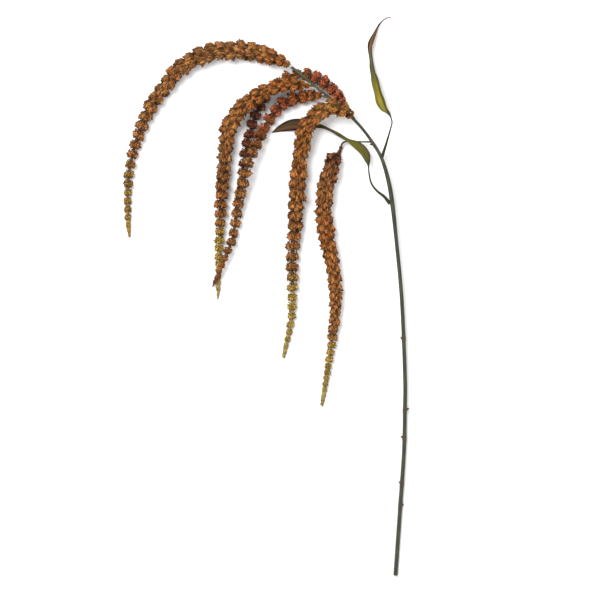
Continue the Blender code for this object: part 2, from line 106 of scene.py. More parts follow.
# Each tassel: its route, the distance between whorls, the half widths in mm between which its whorls close
# up, the seed of its random draws, the length of its tip in another colour, the stalk that carries it, its
# body's and its tip's record slots, and its hues along its length.
TASSELS = {
    "tassel_1": {
        "route": [
            (36.5, 341.8, 24, 2), (23, 350, 21, 10), (2, 360, 16, 15), (-25.5, 366, 0, 15.8),
            (-54, 367.2, 0, 15.6), (-82.5, 364.2, 0, 15.3), (-109.5, 353.6, 0, 14.8), (-133, 336, 0, 14.3),
            (-151.5, 312.5, 0, 13.3), (-168.5, 289, 0, 12.4), (-180.8, 265.5, 0, 11.2), (-191, 240, 0, 10.2),
            (-199, 214, 0, 9), (-204.5, 187, 0, 8), (-206.5, 160, 0, 7), (-207, 135, 0, 5.8),
            (-206.5, 112, 0, 4.4), (-204.6, 88, 0, 1.2),
        ],
        "pitch": 15.5, "crowding": (9.5, 13.0), "seed": 11, "tip": 62.0,
        "stalk": [],
        "slots": ("husks_rust", "husks_yellow"),
        "hues": [
            (0.0, "orange"), (0.12, "brown"), (0.45, "brown"),
            (0.72, "tan"), (0.84, "mustard"), (1.0, "mustard"),
        ],
    },
    "tassel_2": {
        "route": [
            (66.5, 313.2, 22, 1.8), (57, 313, 25, 6), (43.5, 313.8, 30, 11.5), (22.5, 312.5, 33, 13.4),
            (2.3, 305.3, 33, 13.8), (-17.8, 293.4, 31, 14.5), (-37, 278.4, 24.5, 14.7),
            (-50.9, 259, 17, 14.2), (-57.5, 237.5, 0, 13.2), (-61.2, 213.5, 0, 12.4), (-63.8, 188, 0, 11.8),
            (-65.3, 163.5, 0, 11.1), (-67, 138, 0, 10.2), (-68.6, 111, 0, 8.8), (-69.6, 84, 0, 7.4),
            (-70.5, 58.5, 0, 6.2), (-71, 36, 0, 4.6), (-71.6, 15, 0, 3.1), (-72, -4, 0, 1.1),
        ],
        "pitch": 14.0, "crowding": (9.5, 13.0), "seed": 23, "tip": 103.0,
        "stalk": [(75.5, 310.8, 20.9, 1.6), (71, 312.8, 21.4, 1.5)],
        "slots": ("husks_rust", "husks_yellow"),
        "hues": [
            (0.0, "orange"), (0.14, "rust"), (0.5, "brown"), (0.7, "rust"), (0.78, "yellow"), (1.0, "straw"),
        ],
    },
    "tassel_3": {
        "route": [
            (116.8, 286.6, 14.5, 1.8), (111, 296.5, 11, 8.2), (100.8, 308, 0, 10.4), (86.2, 320, 0, 10.8),
            (69.8, 329.2, 0, 10.2), (51.8, 333, 0, 9), (33, 328.3, 0, 9), (15, 315, 0, 9), (-2.5, 295, 0, 9),
            (-16, 270, 0, 9), (-24.5, 243, 0, 8.9), (-30.5, 216, 0, 8.6), (-34.5, 189, 0, 7.2),
            (-38.5, 162, 0, 5.4), (-42.8, 136.5, 0, 3.6), (-46, 118.5, 0, 1.4),
        ],
        "pitch": 15.0, "crowding": (10.0, 13.5), "seed": 37, "tip": 0.0,
        "stalk": [(113.5, 279.6, 17.4, 1.6), (116.6, 281.6, 16.6, 1.5)],
        "slots": ("husks_maroon", "husks_maroon"),
        "hues": [
            (0.0, "red"), (0.15, "red"), (0.25, "rust"), (0.4, "brown"), (0.5, "maroon"), (1.0, "maroon"),
        ],
    },
    "tassel_4": {
        "route": [
            (84.6, 298, 18.6, 1.8), (73.5, 300.5, 15, 8.4), (54.5, 297.5, 0, 10.8), (35, 292.5, 0, 11.3),
            (18.5, 281.5, 0, 11), (5, 264, 0, 10.3), (-6.5, 243.5, 14.5, 9.7), (-16.5, 221.5, 22, 9.4),
            (-25.5, 198.5, 25.5, 9.4), (-32.3, 174, 23, 9.4), (-38.5, 149, 17, 9.2),
            (-43.5, 124.5, 11.5, 8.7), (-47.3, 100.5, 8.8, 8.2), (-52, 79, 11, 7.4), (-59.5, 60.5, 14.6, 6),
            (-66.8, 42.8, 15, 4.4), (-73.5, 28, 11.8, 3), (-79.5, 15.5, 4, 1.4),
        ],
        "pitch": 15.5, "crowding": (10.0, 13.5), "seed": 41, "tip": 42.0,
        "stalk": [(94.8, 296.2, 18.8, 1.6), (91.6, 296.6, 20.4, 1.5)],
        "slots": ("husks_rust", "husks_maroon"),
        "hues": [(0.0, "orange"), (0.2, "red"), (0.45, "tan"), (0.8, "tan"), (0.9, "rust"), (0.96, "maroon")],
    },
    "tassel_5": {
        "route": [
            (128, 268.2, 22.4, 2.6), (121, 272.8, 31.5, 10.6), (103.5, 279.6, 34.3, 14),
            (86.5, 276, 32, 14.2), (71.5, 265.8, 27.5, 14.4), (59.5, 250.5, 22.5, 14.5),
            (54, 229.5, 17, 14.4), (51.2, 208, 0, 14.3), (48.8, 186, 0, 14.3), (46.5, 159, 0, 14.2),
            (44.6, 132, 0, 13.5), (42.8, 105, 0, 12.7), (40.8, 79.5, 0, 11.3), (39.5, 51, 0, 10.4),
            (39.3, 24, 0, 9.2), (39.5, 0, 0, 8.2), (39, -21, 0, 7), (36.5, -42, 0, 5.8), (32, -64.5, 0, 4.4),
            (26.3, -92.3, 0, 2),
        ],
        "pitch": 15.5, "crowding": (11.5, 14.2), "seed": 53, "tip": 117.0,
        "stalk": [(134, 260.4, 17.4, 1.7), (131.8, 264.4, 19.4, 1.6)],
        "slots": ("husks_ochre", "husks_yellow"),
        "hues": [
            (0.0, "ochre"), (0.11, "ochre"), (0.2, "rust"), (0.69, "tan"), (0.76, "yellow"), (1.0, "straw"),
        ],
    },
    "tassel_6": {
        "route": [
            (113.2, 225.6, 6, 2.4), (109, 213.5, 0, 3.2), (102, 205, 0, 12), (99, 193.5, 0, 14),
            (92, 172.5, 0, 15), (87.3, 148.5, 0, 14.5), (86.6, 123, 0, 14.2), (89.6, 97.5, 0, 13.9),
            (94.5, 72, 0, 13.3), (99, 48.5, 0, 12.9), (102.8, 24, 0, 12.2), (104, 0, 0, 11.4),
            (103.2, -24, 0, 10.2), (101.1, -46.5, 0, 8.8), (98.7, -69, 0, 7.5), (95.3, -91.5, 0, 6.3),
            (91.5, -115.5, 0, 5.2), (87.8, -139.5, 0, 4), (83.4, -164.3, 0, 1.8),
        ],
        "pitch": 12.8, "crowding": (7.5, 10.0), "seed": 67, "tip": 100.0,
        "stalk": BRANCH_ROUTE,
        "slots": ("husks_rust", "husks_yellow"),
        "hues": [
            (0.0, "maroon"), (0.16, "brown"), (0.36, "rust"), (0.72, "tan"), (0.78, "yellow"), (1.0, "straw"),
        ],
    },
}

# Each leaf: the petiole's route and then the blade's, as (x, y, lift, half width, fold, roll) with angles in
# degrees, the row where the blade starts, its hues, and the shares of it between which its edges are dark.
LEAVES = {
    "leaf_upper": {
        "route": [
            (174.4, 210.8, 16.2, 1.5, 0, 0), (179, 225.5, 16.4, 1.5, 0, 0), (184.8, 245.5, 15.8, 1.2, 0, 0),
            (188.2, 259, 15, 1.1, 0, 10), (185.9, 268.5, 13.8, 1.2, 10, 25), (181.8, 276, 12.8, 3.8, 36, 36),
            (178.6, 281.5, 12.4, 8, 40, 38), (174.4, 292, 11.6, 9.9, 40, 38), (169.6, 308, 10.8, 9, 40, 38),
            (165.6, 325.5, 9.8, 8.2, 42, 42), (162, 341, 8.8, 7, 46, 48), (159.7, 353, 8, 4.4, 48, 52),
            (158.4, 366.5, 7.2, 5.9, 46, 48), (158.9, 374.5, 6.4, 6.6, 44, 44),
            (160.4, 382.5, 5.6, 5.4, 40, 40), (163.3, 391.5, 4.6, 3.8, 36, 32),
            (167.2, 402.5, 3.2, 1.6, 24, 20), (173, 411.5, 2.2, 1, 12, 10), (180.2, 417, 1.4, 0.8, 6, 5),
            (187.8, 418.6, 1, 0.6, 0, 0),
        ],
        "blade_from": 5,
        "hues": [
            (0.0, "lime"), (0.14, "yellow"), (0.3, "lime"), (0.42, "grey_green"), (0.58, "grey_green"),
            (0.66, "brown"), (0.8, "brown"), (0.86, "maroon"), (0.9, "rose"), (1.0, "rose"),
        ],
        "edges": (0.58, 0.88),
    },
    "leaf_lower": {
        "route": [
            (182.9, 141.2, 14, 1.9, 0, 0), (176.2, 149.2, 13.4, 1.7, 0, 0), (165.8, 157.5, 12.2, 1.4, 0, 0),
            (157.8, 168, 11.6, 1.3, 0, 0), (154.4, 181.5, 11.6, 1.2, 0, -5),
            (153.2, 194.5, 12.4, 1.3, 8, -15), (151.8, 202.5, 13.4, 4.6, 20, -22),
            (146, 213, 15, 8.8, 24, -30), (135.6, 222.6, 16.6, 8.4, 24, -38), (120, 232.4, 17, 4.6, 22, -46),
            (103, 243.6, 12.6, 3.6, 20, -44), (89, 251.4, 7.6, 2.8, 14, -34),
            (77.3, 255.2, 4.6, 3.8, 10, -20), (63.5, 257, 2.8, 7.6, 8, -8), (49.5, 257, 2.2, 9, 6, -4),
            (37, 256.2, 2.1, 8.6, 8, -4), (22, 251.6, 1.6, 5.2, 8, -2), (9, 245.4, 1, 0.6, 0, 0),
        ],
        "blade_from": 6,
        "hues": [
            (0.0, "olive"), (0.1, "lime"), (0.24, "lime"), (0.34, "grey_green"), (0.56, "olive"),
            (0.7, "plum"), (1.0, "plum"),
        ],
        "edges": (0.58, 1.0),
    },
}


def blend(value, low, high):
    """0 below low, 1 above high and straight between them."""
    return np.clip((value - low) / (high - low), 0.0, 1.0)


def between(pair, share):
    """The first of the pair at share 0, the second at share 1 and straight between them."""
    return pair[0] + (pair[1] - pair[0]) * share


def unit(vectors):
    return vectors / np.linalg.norm(vectors, axis=-1, keepdims=True)


class Path:
    """A dense smooth curve through a route's points, which carries the route's other columns along."""

    STEPS = 24
    REACH = 0.25
    LEAST_HALF = 0.8

    def __init__(self, route, settle=0.0):
        knots = np.array(route, float)
        knots = np.vstack([2 * knots[0] - knots[1], knots, 2 * knots[-1] - knots[-2]])
        shares = np.linspace(0.0, 1.0, self.STEPS, endpoint=False)[:, None]
        runs = []
        for before, here, there, after in zip(knots, knots[1:], knots[2:], knots[3:]):
            bend = 2 * before - 5 * here + 4 * there - after
            twist = 3 * here - before - 3 * there + after
            runs.append(0.5 * (2 * here + (there - before) * shares + bend * shares**2 + twist * shares**3))
        self.rows = np.vstack([*runs, knots[-2:-1]])
        if settle:
            self.rows[:, 3] = np.maximum(self.rows[:, 3], self.LEAST_HALF)
            self.rows[:, 2] = np.maximum(self.rows[:, 2], self.rows[:, 3] * settle)
        gaps = np.linalg.norm(np.diff(self.rows[:, :3], axis=0), axis=1)
        self.along = np.concatenate([[0.0], np.cumsum(gaps)])
        self.length = self.along[-1]

    def read(self, where):
        """The route's columns at each distance along it."""
        return np.stack([np.interp(where, self.along, column) for column in self.rows.T], axis=-1)

    def frames(self, where):
        """The columns there, the direction along the path, the level one across it and the upward one."""
        where = np.asarray(where, float)
        ahead = self.read(np.minimum(where + self.REACH, self.length))
        behind = self.read(np.maximum(where - self.REACH, 0.0))
        forward = unit((ahead - behind)[..., :3])
        side = unit(np.cross(forward, (0.0, 0.0, 1.0)))
        return self.read(where), forward, side, np.cross(side, forward)


def turned_by(angle, side, up):
    """The directions across a path and upwards, turned round it by an angle."""
    return math.cos(angle) * side + math.sin(angle) * up, math.cos(angle) * up - math.sin(angle) * side


def loft(rings):
    """Points and faces of a closed body over rings of equal count, capped at both ends."""
    count = rings.shape[1]
    total = len(rings)
    low = np.arange(total - 1)[:, None] * count
    here = np.arange(count)
    there = (here + 1) % count
    corners = [low + here, low + there, low + count + there, low + count + here]
    sides = np.stack(corners, axis=-1).reshape(-1, 4)
    caps = [list(range(count))[::-1], list(range((total - 1) * count, total * count))]
    return rings.reshape(-1, 3), sides.tolist() + caps


def circle(sides):
    """The cosines and sines of the angles round a ring, and the angles."""
    angles = 2.0 * np.pi * np.arange(sides) / sides
    return np.cos(angles), np.sin(angles), angles


def make_mesh(name, points, faces, attributes=None):
    """A mesh in metres from points in mm, with smooth faces and named numbers or vectors on its points."""
    mesh = bpy.data.meshes.new(name)
    mesh.from_pydata((np.asarray(points) * MM).tolist(), [], faces)
    mesh.shade_smooth()
    for label, values in (attributes or {}).items():
        values = np.asarray(values, np.float32)
        kind, key = ("FLOAT_VECTOR", "vector") if values.ndim == 2 else ("FLOAT", "value")
        mesh.attributes.new(label, kind, "POINT").data.foreach_set(key, values.ravel())
    mesh.update()
    return mesh


def place(name, mesh):
    made = bpy.data.objects.new(name, mesh)
    bpy.context.scene.collection.objects.link(made)
    return made


def finish_piece(piece, slot, *nodes):
    """The piece rides on the plant's one body and stands for its solid nodes; its record slot is not used."""
    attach(piece, "root")
    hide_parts(*nodes)


def turned_out(points, faces):
    """The faces of a closed body, turned so that they point outwards."""
    volume = 0.0
    for face in faces:
        first = points[face[0]]
        for second, third in zip(face[1:], face[2:]):
            volume += np.dot(first, np.cross(points[second], points[third]))
    return faces if volume > 0.0 else [list(face)[::-1] for face in faces]


# Materials


class Nodes:
    """A short way to write a tree of nodes."""

    def __init__(self, tree):
        self.tree = tree

    def node(self, kind, inputs=None, **settings):
        made = self.tree.nodes.new(kind)
        for key, value in settings.items():
            setattr(made, key, value)
        for key, value in (inputs or {}).items():
            self.put(made.inputs[key], value)
        return made

    def put(self, socket, value):
        if isinstance(value, bpy.types.NodeSocket):
            self.tree.links.new(value, socket)
        else:
            socket.default_value = value

    def maths(self, operation, first, second=0.0):
        return self.node("ShaderNodeMath", {0: first, 1: second}, operation=operation).outputs[0]


class Graph(Nodes):
    """A material's nodes."""

    ROUGHNESS = 0.55  # of every noise

    def __init__(self, name):
        old = bpy.data.materials.get(name)
        if old:
            bpy.data.materials.remove(old)
        self.material = bpy.data.materials.new(name)
        self.material.use_nodes = True
        super().__init__(self.material.node_tree)

    def number(self, label):
        """A named number that the mesh's points carry."""
        return self.node("ShaderNodeAttribute", attribute_name=label).outputs["Fac"]

    def place(self):
        return self.node("ShaderNodeTexCoord").outputs["Object"]

    def noise(self, scale, detail=3.0, vector=None):
        inputs = {"Vector": vector or self.place(), "Scale": scale, "Detail": detail}
        return self.node("ShaderNodeTexNoise", {**inputs, "Roughness": self.ROUGHNESS}).outputs["Fac"]

    def ramp(self, value, stops):
        """Colours or shades of grey along a number, as (position, colour)."""
        made = self.node("ShaderNodeValToRGB", {"Fac": value})
        while len(made.color_ramp.elements) < len(stops):
            made.color_ramp.elements.new(0.5)
        for element, (position, colour) in zip(made.color_ramp.elements, stops):
            element.position = position
            element.color = (*colour, 1.0) if isinstance(colour, tuple) else (colour, colour, colour, 1.0)
        return made.outputs["Color"]

    def hues(self, value, hues, colours):
        """The settings' colours along a number, as (position, name)."""
        return self.ramp(value, [(position, tuple(getattr(colours, hue))) for position, hue in hues])

    def mix(self, share, first, second, blend_type="MIX"):
        made = self.node("ShaderNodeMix", {0: share}, data_type="RGBA", blend_type=blend_type)
        for socket, value in ((made.inputs[6], first), (made.inputs[7], second)):
            self.put(socket, value if isinstance(value, bpy.types.NodeSocket) else (*value, 1.0))
        return made.outputs[2]

    def shaded(self, body, value, stops):
        """The body's colour times a ramp."""
        return self.mix(1.0, body, self.ramp(value, stops), "MULTIPLY")

    def bump(self, height, strength, distance):
        inputs = {"Height": height, "Strength": strength, "Distance": distance}
        return self.node("ShaderNodeBump", inputs).outputs["Normal"]

    def end(self, colour, roughness, normal=None, shine=0.5):
        shader = self.tree.nodes["Principled BSDF"]
        self.put(shader.inputs["Base Color"], colour)
        self.put(shader.inputs["Roughness"], roughness)
        self.put(shader.inputs["Specular IOR Level"], shine)
        if normal:
            self.put(shader.inputs["Normal"], normal)
        return self.material


def husk_finish(name, hues, colours):
    """Dry husks: hues along the tassel, a tone of its own for each bract, dark points, and painted shade and
    highlights.
    """
    graph = Graph(name)
    body = graph.hues(graph.number("share"), hues, colours)
    tints = [(0.0, (1.08, 0.84, 0.82)), (0.35, 1.0), (0.65, (1.0, 1.06, 0.95)), (1.0, (0.92, 1.04, 0.8))]
    # along each bract: painted shade at its root, a painted highlight over its outer part, and a darker point
    reaches = [(0.0, 0.25), (0.3, 0.75), (0.6, 1.3), (0.8, 1.1), (0.95, 0.35), (1.0, 0.25)]
    for value, stops in (
        (graph.number("tint"), tints),
        (graph.number("tone"), [(0.0, 0.38), (0.3, 0.85), (0.7, 1.15), (1.0, (1.5, 1.6, 1.8))]),
        (graph.number("husk_tone"), [(0.0, 0.8), (0.5, 1.0), (1.0, 1.25)]),
        (graph.number("reach"), reaches),
        # along each husk: painted shade at its root, a painted highlight towards its point, and a darker very
        # point
        (graph.number("husk_reach"), [(0.0, 0.7), (0.5, 1.0), (0.8, 1.15), (1.0, 0.75)]),
        # painted shade deep in each lobe, on its side towards the tip and on the stalk, and painted light on
        # bracts that point out; each lobe's own random tone is in it too
        (graph.number("depth"), [(0.0, 0.25), (0.5, 0.85), (1.0, 1.4)]),
        (graph.noise(70.0, 2.0), [(0.3, 0.8), (0.7, 1.2)]),
        (graph.noise(1500.0, 2.0), [(0.3, 0.75), (0.7, 1.2)]),
    ):
        body = graph.shaded(body, value, stops)
    return graph.end(body, 0.65, graph.bump(graph.noise(1100.0), 0.4, 0.0005), 0.15)


def leaf_finish(name, plan, colours):
    """A leaf's matt blade: hues along its length, fine streaks and veins, painted shade along the midrib and
    on the half that turns up, and maroon edges.
    """
    graph = Graph(name)
    maths = graph.maths
    share = graph.number("share")
    across = graph.number("across")
    off_rib = maths("ABSOLUTE", across)
    blotch = graph.noise(45.0)
    streak_inputs = {"X": maths("MULTIPLY", across, 5.0), "Y": maths("MULTIPLY", share, 3.0)}
    streaks = graph.noise(1.0, 4.0, graph.node("ShaderNodeCombineXYZ", streak_inputs).outputs[0])
    wandering = maths("ADD", share, maths("MULTIPLY", maths("SUBTRACT", streaks, 0.5), 0.12))
    body = graph.hues(wandering, plan["hues"], colours)
    body = graph.shaded(body, streaks, [(0.3, 0.55), (0.5, 0.95), (0.7, 1.4)])
    body = graph.shaded(body, blotch, [(0.35, 0.8), (0.65, 1.15)])
    slant = maths("SUBTRACT", maths("MULTIPLY", share, 34.0), maths("MULTIPLY", off_rib, 3.2))
    wave = maths("ABSOLUTE", maths("SUBTRACT", maths("FRACT", slant), 0.5))
    veins = graph.ramp(wave, [(0.0, 1.0), (0.09, 0.0)])
    body = graph.mix(maths("MULTIPLY", veins, 0.3), body, colours.vein)
    # painted shade in the fold along the midrib
    fold_shade = graph.ramp(off_rib, [(0.0, 1.0), (0.1, 0.0)])
    body = graph.mix(maths("MULTIPLY", fold_shade, 0.75), body, colours.fold_shade)
    # painted shade on the half of the blade that turns up steeply, partly the darker underside that shows
    # there
    body = graph.mix(graph.ramp(across, [(0.0, 0.0), (0.2, 0.45)]), body, colours.fold_shade)
    edge = maths("ADD", off_rib, maths("MULTIPLY", maths("SUBTRACT", blotch, 0.5), 0.7))
    edge = graph.ramp(edge, [(0.58, 0.0), (0.8, 1.0)])
    dark_from, dark_to = plan["edges"]
    stops = [(dark_from - 0.08, 0.35), (dark_from + 0.04, 1.0), (dark_to - 0.02, 1.0), (dark_to, 0.2)]
    body = graph.mix(maths("MULTIPLY", edge, graph.ramp(share, stops)), body, colours.maroon)
    body = graph.mix(graph.number("blade"), colours.petiole, body)
    relief = maths("ADD", maths("MULTIPLY", veins, 0.6), graph.noise(500.0, 2.0))
    return graph.end(body, 0.6, graph.bump(relief, 0.3, 0.0004), 0.06)


def stem_finish(name, colours):
    """A ribbed green stem with darker stretches, pale flecks, brown round its buds and a pale cut end."""
    graph = Graph(name)
    inputs = {"Vector": graph.place(), "Scale": (1.0, 0.16, 1.0)}
    streaks = graph.noise(300.0, 4.0, graph.node("ShaderNodeMapping", inputs).outputs[0])
    body = graph.mix(graph.ramp(streaks, [(0.35, 0.0), (0.68, 1.0)]), colours.dark, colours.green)
    patches = graph.ramp(graph.noise(22.0, 2.0), [(0.5, 0.0), (0.72, 0.7)])
    flecks = graph.ramp(graph.noise(900.0, 1.0), [(0.66, 0.0), (0.72, 0.55)])
    for amount, paint in (
        (patches, colours.pale),
        (flecks, colours.pale),
        (graph.number("ripe"), colours.brown),
        (graph.number("cut"), colours.pith),
    ):
        body = graph.mix(amount, body, paint)
    return graph.end(body, 0.38, graph.bump(streaks, 0.25, 0.0003), 0.35)


# Tassels

# The whorls of lobes, as on the solid tassels. Four lobes of a whorl stand at its corners, one stands on top
# and, where the tassel is thick, one underneath. The last two move on towards the next whorl there.
SETTLE = 0.93
RANKS = 4
RANK_TWIST = 0.0007  # radians per mm
LOBE_STATION = 0.32
FILL_STATION = 0.74
FILL_SIZE = 0.84
FILL_FROM = 0.25
LOBE_SIZES = (0.88, 1.07)
LOBE_DRIFT = 0.08  # of a whorl's length
LOBE_SWAY = 0.2  # of half the angle between two ranks
FIRST_WHORL = 2.0  # mm from the tassel's start
LAST_WHORL = 4.0  # the least distance of its last whorl from its end
END_GAP = 1.0
PITCH_SHARES = (0.34, 0.66)  # for the thinnest tassel, and added up to the half width of the full pitch
FULL_PITCH_HALF = 9.0

# The stalk under the husks: its radius in the furrows and on the crests as shares of the tassel's half width,
# where the tassel is thin and thick. Its swellings' half length is a share of the whorl's length.
CORE_SIDES = 24
CORE_STEP = 2.2
CORE_NECK = (0.2, 0.42)
CORE_CREST = (0.3, 0.6)
CORE_BREADTH = 0.42
CORE_LENGTH = 0.34
CORE_LENGTH_GAIN = 0.16
SWELL_REACH = 2.5  # whorls
WHORL_REACH = 20.0  # mm
LEAST_RINGS = 4
SPIKE_WIDTHS = (3.0, 8.0)  # half widths between which a tassel's tip turns into a fine spike
SPIKE_NECK = 0.78
SPIKE_CREST = 0.95
STALK_SIZE = -0.007  # m, below 0 to mark the stalk
STALK_PAINTED_LIGHT = (0.5, 0.25)  # painted light of the stalk where the tassel is thin and thick: painted shade under thick husks
STALK_WIDTHS = (5.0, 11.0)
STALK_TONES = (0.4, 0.6)  # of the body and of the tip
TONE_LABELS = ("tone", "tint", "reach", "husk_reach", "husk_tone")

# A lobe's half size outwards and round the stalk as shares of the tassel's half width, the second where the
# tassel is thin and thick, and along the stalk as a share of the whorl's length.
LOBE_HEIGHT = 0.5
LOBE_BREADTHS = (0.66, 0.52)
LOBE_LENGTH = 0.4
LOBE_OPEN = 0.05
LOBE_SHADES = (0.7, 1.0)
FLATNESS = 0.9
BRACT_SEED = 1000  # apart from the seed of the whorls
BRACT_ROOT = 0.4
BRACT_ROOT_LEAN = 0.6
BRACT_LEANS = (0.4, 1.7)  # towards the tassel's tip, as a share of the lobe's height
BRACT_JITTER = 0.12
BRACT_SIZES = (0.85, 1.12)
INNER_LIGHT = 0.3  # of the bracts that lie flat against the stalk
OUTER_LEVEL = 0.8  # how far out a bract points when it is fully lit
FAR_SHADE = 0.75
FAR_SIDE = (0.1, 0.8)  # of the lobe, towards the tassel's tip, where the shade sets in
GOLDEN_ANGLE = math.pi * (3.0 - math.sqrt(5.0))

# Each shape that is repeated: its rings as (height, half width), the bend of its point, its sides, and the
# count and height of its ridges.
BRACTS = (
    (((0.0, 0.14), (0.3, 0.34), (0.62, 0.42), (0.88, 0.28)), 0.15, 6, 2, 0.22),
    (((0.0, 0.12), (0.3, 0.3), (0.6, 0.36), (0.86, 0.22)), 0.35, 6, 2, -0.3),
    (((0.0, 0.16), (0.35, 0.36), (0.7, 0.44), (0.92, 0.34)), 0.08, 6, 3, 0.14),
    (((0.0, 0.12), (0.28, 0.26), (0.55, 0.32), (0.84, 0.2)), 0.22, 6, 2, -0.35),
)
HUSKS = (
    (((-0.1, 0.24), (0.4, 0.34)), 0.1, 4, 2, 0.15),
    (((-0.1, 0.26), (0.45, 0.3)), 0.25, 3, 2, 0.0),
    (((-0.1, 0.2), (0.35, 0.4)), 0.0, 4, 2, -0.2),
)
BRACT_HUSK_REACH = 0.5

# How husks are spread over the bracts.
BRACT_SPIN = 0.7
HUSK_SPIN = 0.8
HUSK_RISE = 0.3
HUSKS_FACE = -0.25  # least share of a face's normal that points out of the lobe
HUSKS_END = 0.8  # a bract's point stays clear
HUSK_LENGTHS = (0.45, 80.0)  # of the husk length, plus what is gained for each metre of the bract
MOST_HUSKS = 1.0e6
TREE_NUMBERS = ("Bract width", "Husk length", "Husk width", "Husk spacing", "Variation")

# Where a tassel meets the table and the height of the solid one, mm.
TABLE_CLEARANCE = 0.1
PRESS_HEIGHT = 2.0
PRESS_DEPTH = 1.9
TOP_MARGIN = 1.0
TOP_DEPTH = 2.2


def tassel_whorls(plan, path):
    """Every whorl in order: its place, its width, and each lobe's place, angle and size."""
    draw = random.Random(plan["seed"])
    colour_change = path.length - plan["tip"]
    stops = [FIRST_WHORL]
    while stops[-1] < path.length - LAST_WHORL:
        width = path.read(stops[-1])[3]
        share = min(1.0, PITCH_SHARES[0] + PITCH_SHARES[1] * width / FULL_PITCH_HALF)
        stops.append(stops[-1] + plan["pitch"] * share)
    stops[-1] = path.length - END_GAP
    for start, end in zip(stops, stops[1:]):
        step = end - start
        width = path.read(start + 0.5 * step)[3]
        dense = float(blend(width, *plan["crowding"]))
        lobes = []
        for k in range(2 * RANKS):
            fills = k % 2 == 0
            if fills and (k % RANKS == 0 or (dense < FILL_FROM and k > RANKS)):
                continue
            station = between((LOBE_STATION, FILL_STATION), dense * fills)
            spot = start + step * (station + draw.uniform(-LOBE_DRIFT, LOBE_DRIFT))
            angle = math.pi * (k + draw.uniform(-LOBE_SWAY, LOBE_SWAY)) / RANKS
            size = draw.uniform(*LOBE_SIZES) * (FILL_SIZE if fills else 1.0)
            lobes.append((spot, angle + RANK_TWIST * start, size))
        in_tip = plan["tip"] > 0.0 and start >= colour_change
        yield {"start": start, "step": step, "width": width, "dense": dense, "in_tip": in_tip, "lobes": lobes}


def swell(stop, angles, whorls):
    """How far the stalk swells out at each angle under the lobes near this stop, from 0 to about 1."""
    most = np.zeros(len(angles))
    breadth = CORE_BREADTH * 2.0 * math.pi / RANKS
    for whorl in whorls:
        if abs(whorl["start"] - stop) > SWELL_REACH * whorl["step"]:
            continue
        for spot, angle, size in whorl["lobes"]:
            apart = np.abs((angles - angle + math.pi) % (2.0 * math.pi) - math.pi) / breadth
            off = (stop - spot) / ((CORE_LENGTH + CORE_LENGTH_GAIN * whorl["dense"]) * whorl["step"])
            most = np.maximum(most, size * np.exp(-(apart**4) - off**2))
    return most


def core_ring(path, plan, stop, whorls, tone):
    """One ring of the stalk under the husks: its points and what they carry."""
    here, forward, side, up = path.frames(stop)
    cosines, sines, angles = circle(CORE_SIDES)
    dense = float(blend(here[3], *plan["crowding"]))
    spike = 1.0 - float(blend(here[3], *SPIKE_WIDTHS))
    neck = max(between(CORE_NECK, dense), SPIKE_NECK * spike)
    crest = max(between(CORE_CREST, dense), SPIKE_CREST * spike)
    radius = here[3] * (neck + (crest - neck) * swell(stop, angles, whorls))
    out = cosines[:, None] * side + sines[:, None] * up
    ahead = np.tile(forward, (CORE_SIDES, 1))
    return {
        "spots": here[:3] + radius[:, None] * out,
        "size": np.full(CORE_SIDES, STALK_SIZE),
        "girth": np.zeros(CORE_SIDES),
        "facing": ahead,
        "outward": out,
        "along": ahead,
        "share": np.full(CORE_SIDES, stop / path.length),
        # painted shade: the stalk is darker where thick husks hide it
        "depth": np.full(CORE_SIDES, between(STALK_PAINTED_LIGHT, blend(here[3], *STALK_WIDTHS))),
        **{label: np.full(CORE_SIDES, tone) for label in TONE_LABELS},
    }


def lobe_bracts(path, whorl, lobe, settings, draw):
    """One lobe's bracts, which fan out from its middle: where each is rooted and what its point carries."""
    station, angle, lobe_size = lobe
    half = whorl["width"] * lobe_size
    count = round(settings.bract_count + settings.bract_crowding * whorl["width"])
    turn = np.arange(count) * GOLDEN_ANGLE + draw.uniform(0.0, 2.0 * math.pi)
    level = 1.0 - (1.0 - LOBE_OPEN) * (np.arange(count) + 0.5) / count
    disc = np.sqrt(1.0 - level**2)
    across, down = disc * np.cos(turn), disc * np.sin(turn)
    here, forward, side, up = path.frames(station)
    out, round_stalk = turned_by(angle, side, up)
    height = LOBE_HEIGHT * half
    breadth = half * between(LOBE_BREADTHS, whorl["dense"])
    flat = np.array([1.0, 1.0, FLATNESS])
    reaches = flat * (
        (height * level)[:, None] * out
        + (breadth * across)[:, None] * round_stalk
        + (whorl["step"] * LOBE_LENGTH * down + settings.droop * height * level)[:, None] * forward
    )
    middle = here[:3] + out * (half - height) * flat
    shade = draw.uniform(*LOBE_SHADES)
    jitter = np.array([[draw.gauss(0.0, BRACT_JITTER) for _ in range(3)] for _ in range(count)])
    sizes = np.array([draw.uniform(*BRACT_SIZES) for _ in range(count)])
    lean = between(BRACT_LEANS, whorl["dense"] * (1.0 - np.abs(unit(reaches) @ side)))
    lean = height * lean[:, None] * forward
    bracts = reaches * (1.0 - BRACT_ROOT) * sizes[:, None] + jitter * height + lean
    lengths = np.linalg.norm(bracts, axis=1)
    facing = bracts / lengths[:, None]
    open_light = INNER_LIGHT + (1.0 - INNER_LIGHT) * blend(level, LOBE_OPEN, OUTER_LEVEL)
    return {
        "spots": middle + reaches * BRACT_ROOT - BRACT_ROOT_LEAN * lean,
        "size": (lengths + settings.bract_point / MM) * MM,
        "girth": (settings.bract_girth + settings.bract_growth * half * MM) * sizes,
        "facing": facing,
        "outward": facing,
        "along": np.tile(forward, (count, 1)),
        "share": np.full(count, station / path.length),
        # painted light and shade: bracts that lie against the stalk and the lobe's side towards the tip are
        # painted darker; each lobe's random tone is in it too
        "depth": shade * open_light * (1.0 - FAR_SHADE * blend(down, *FAR_SIDE)),
        **{label: np.zeros(count) for label in TONE_LABELS},
    }


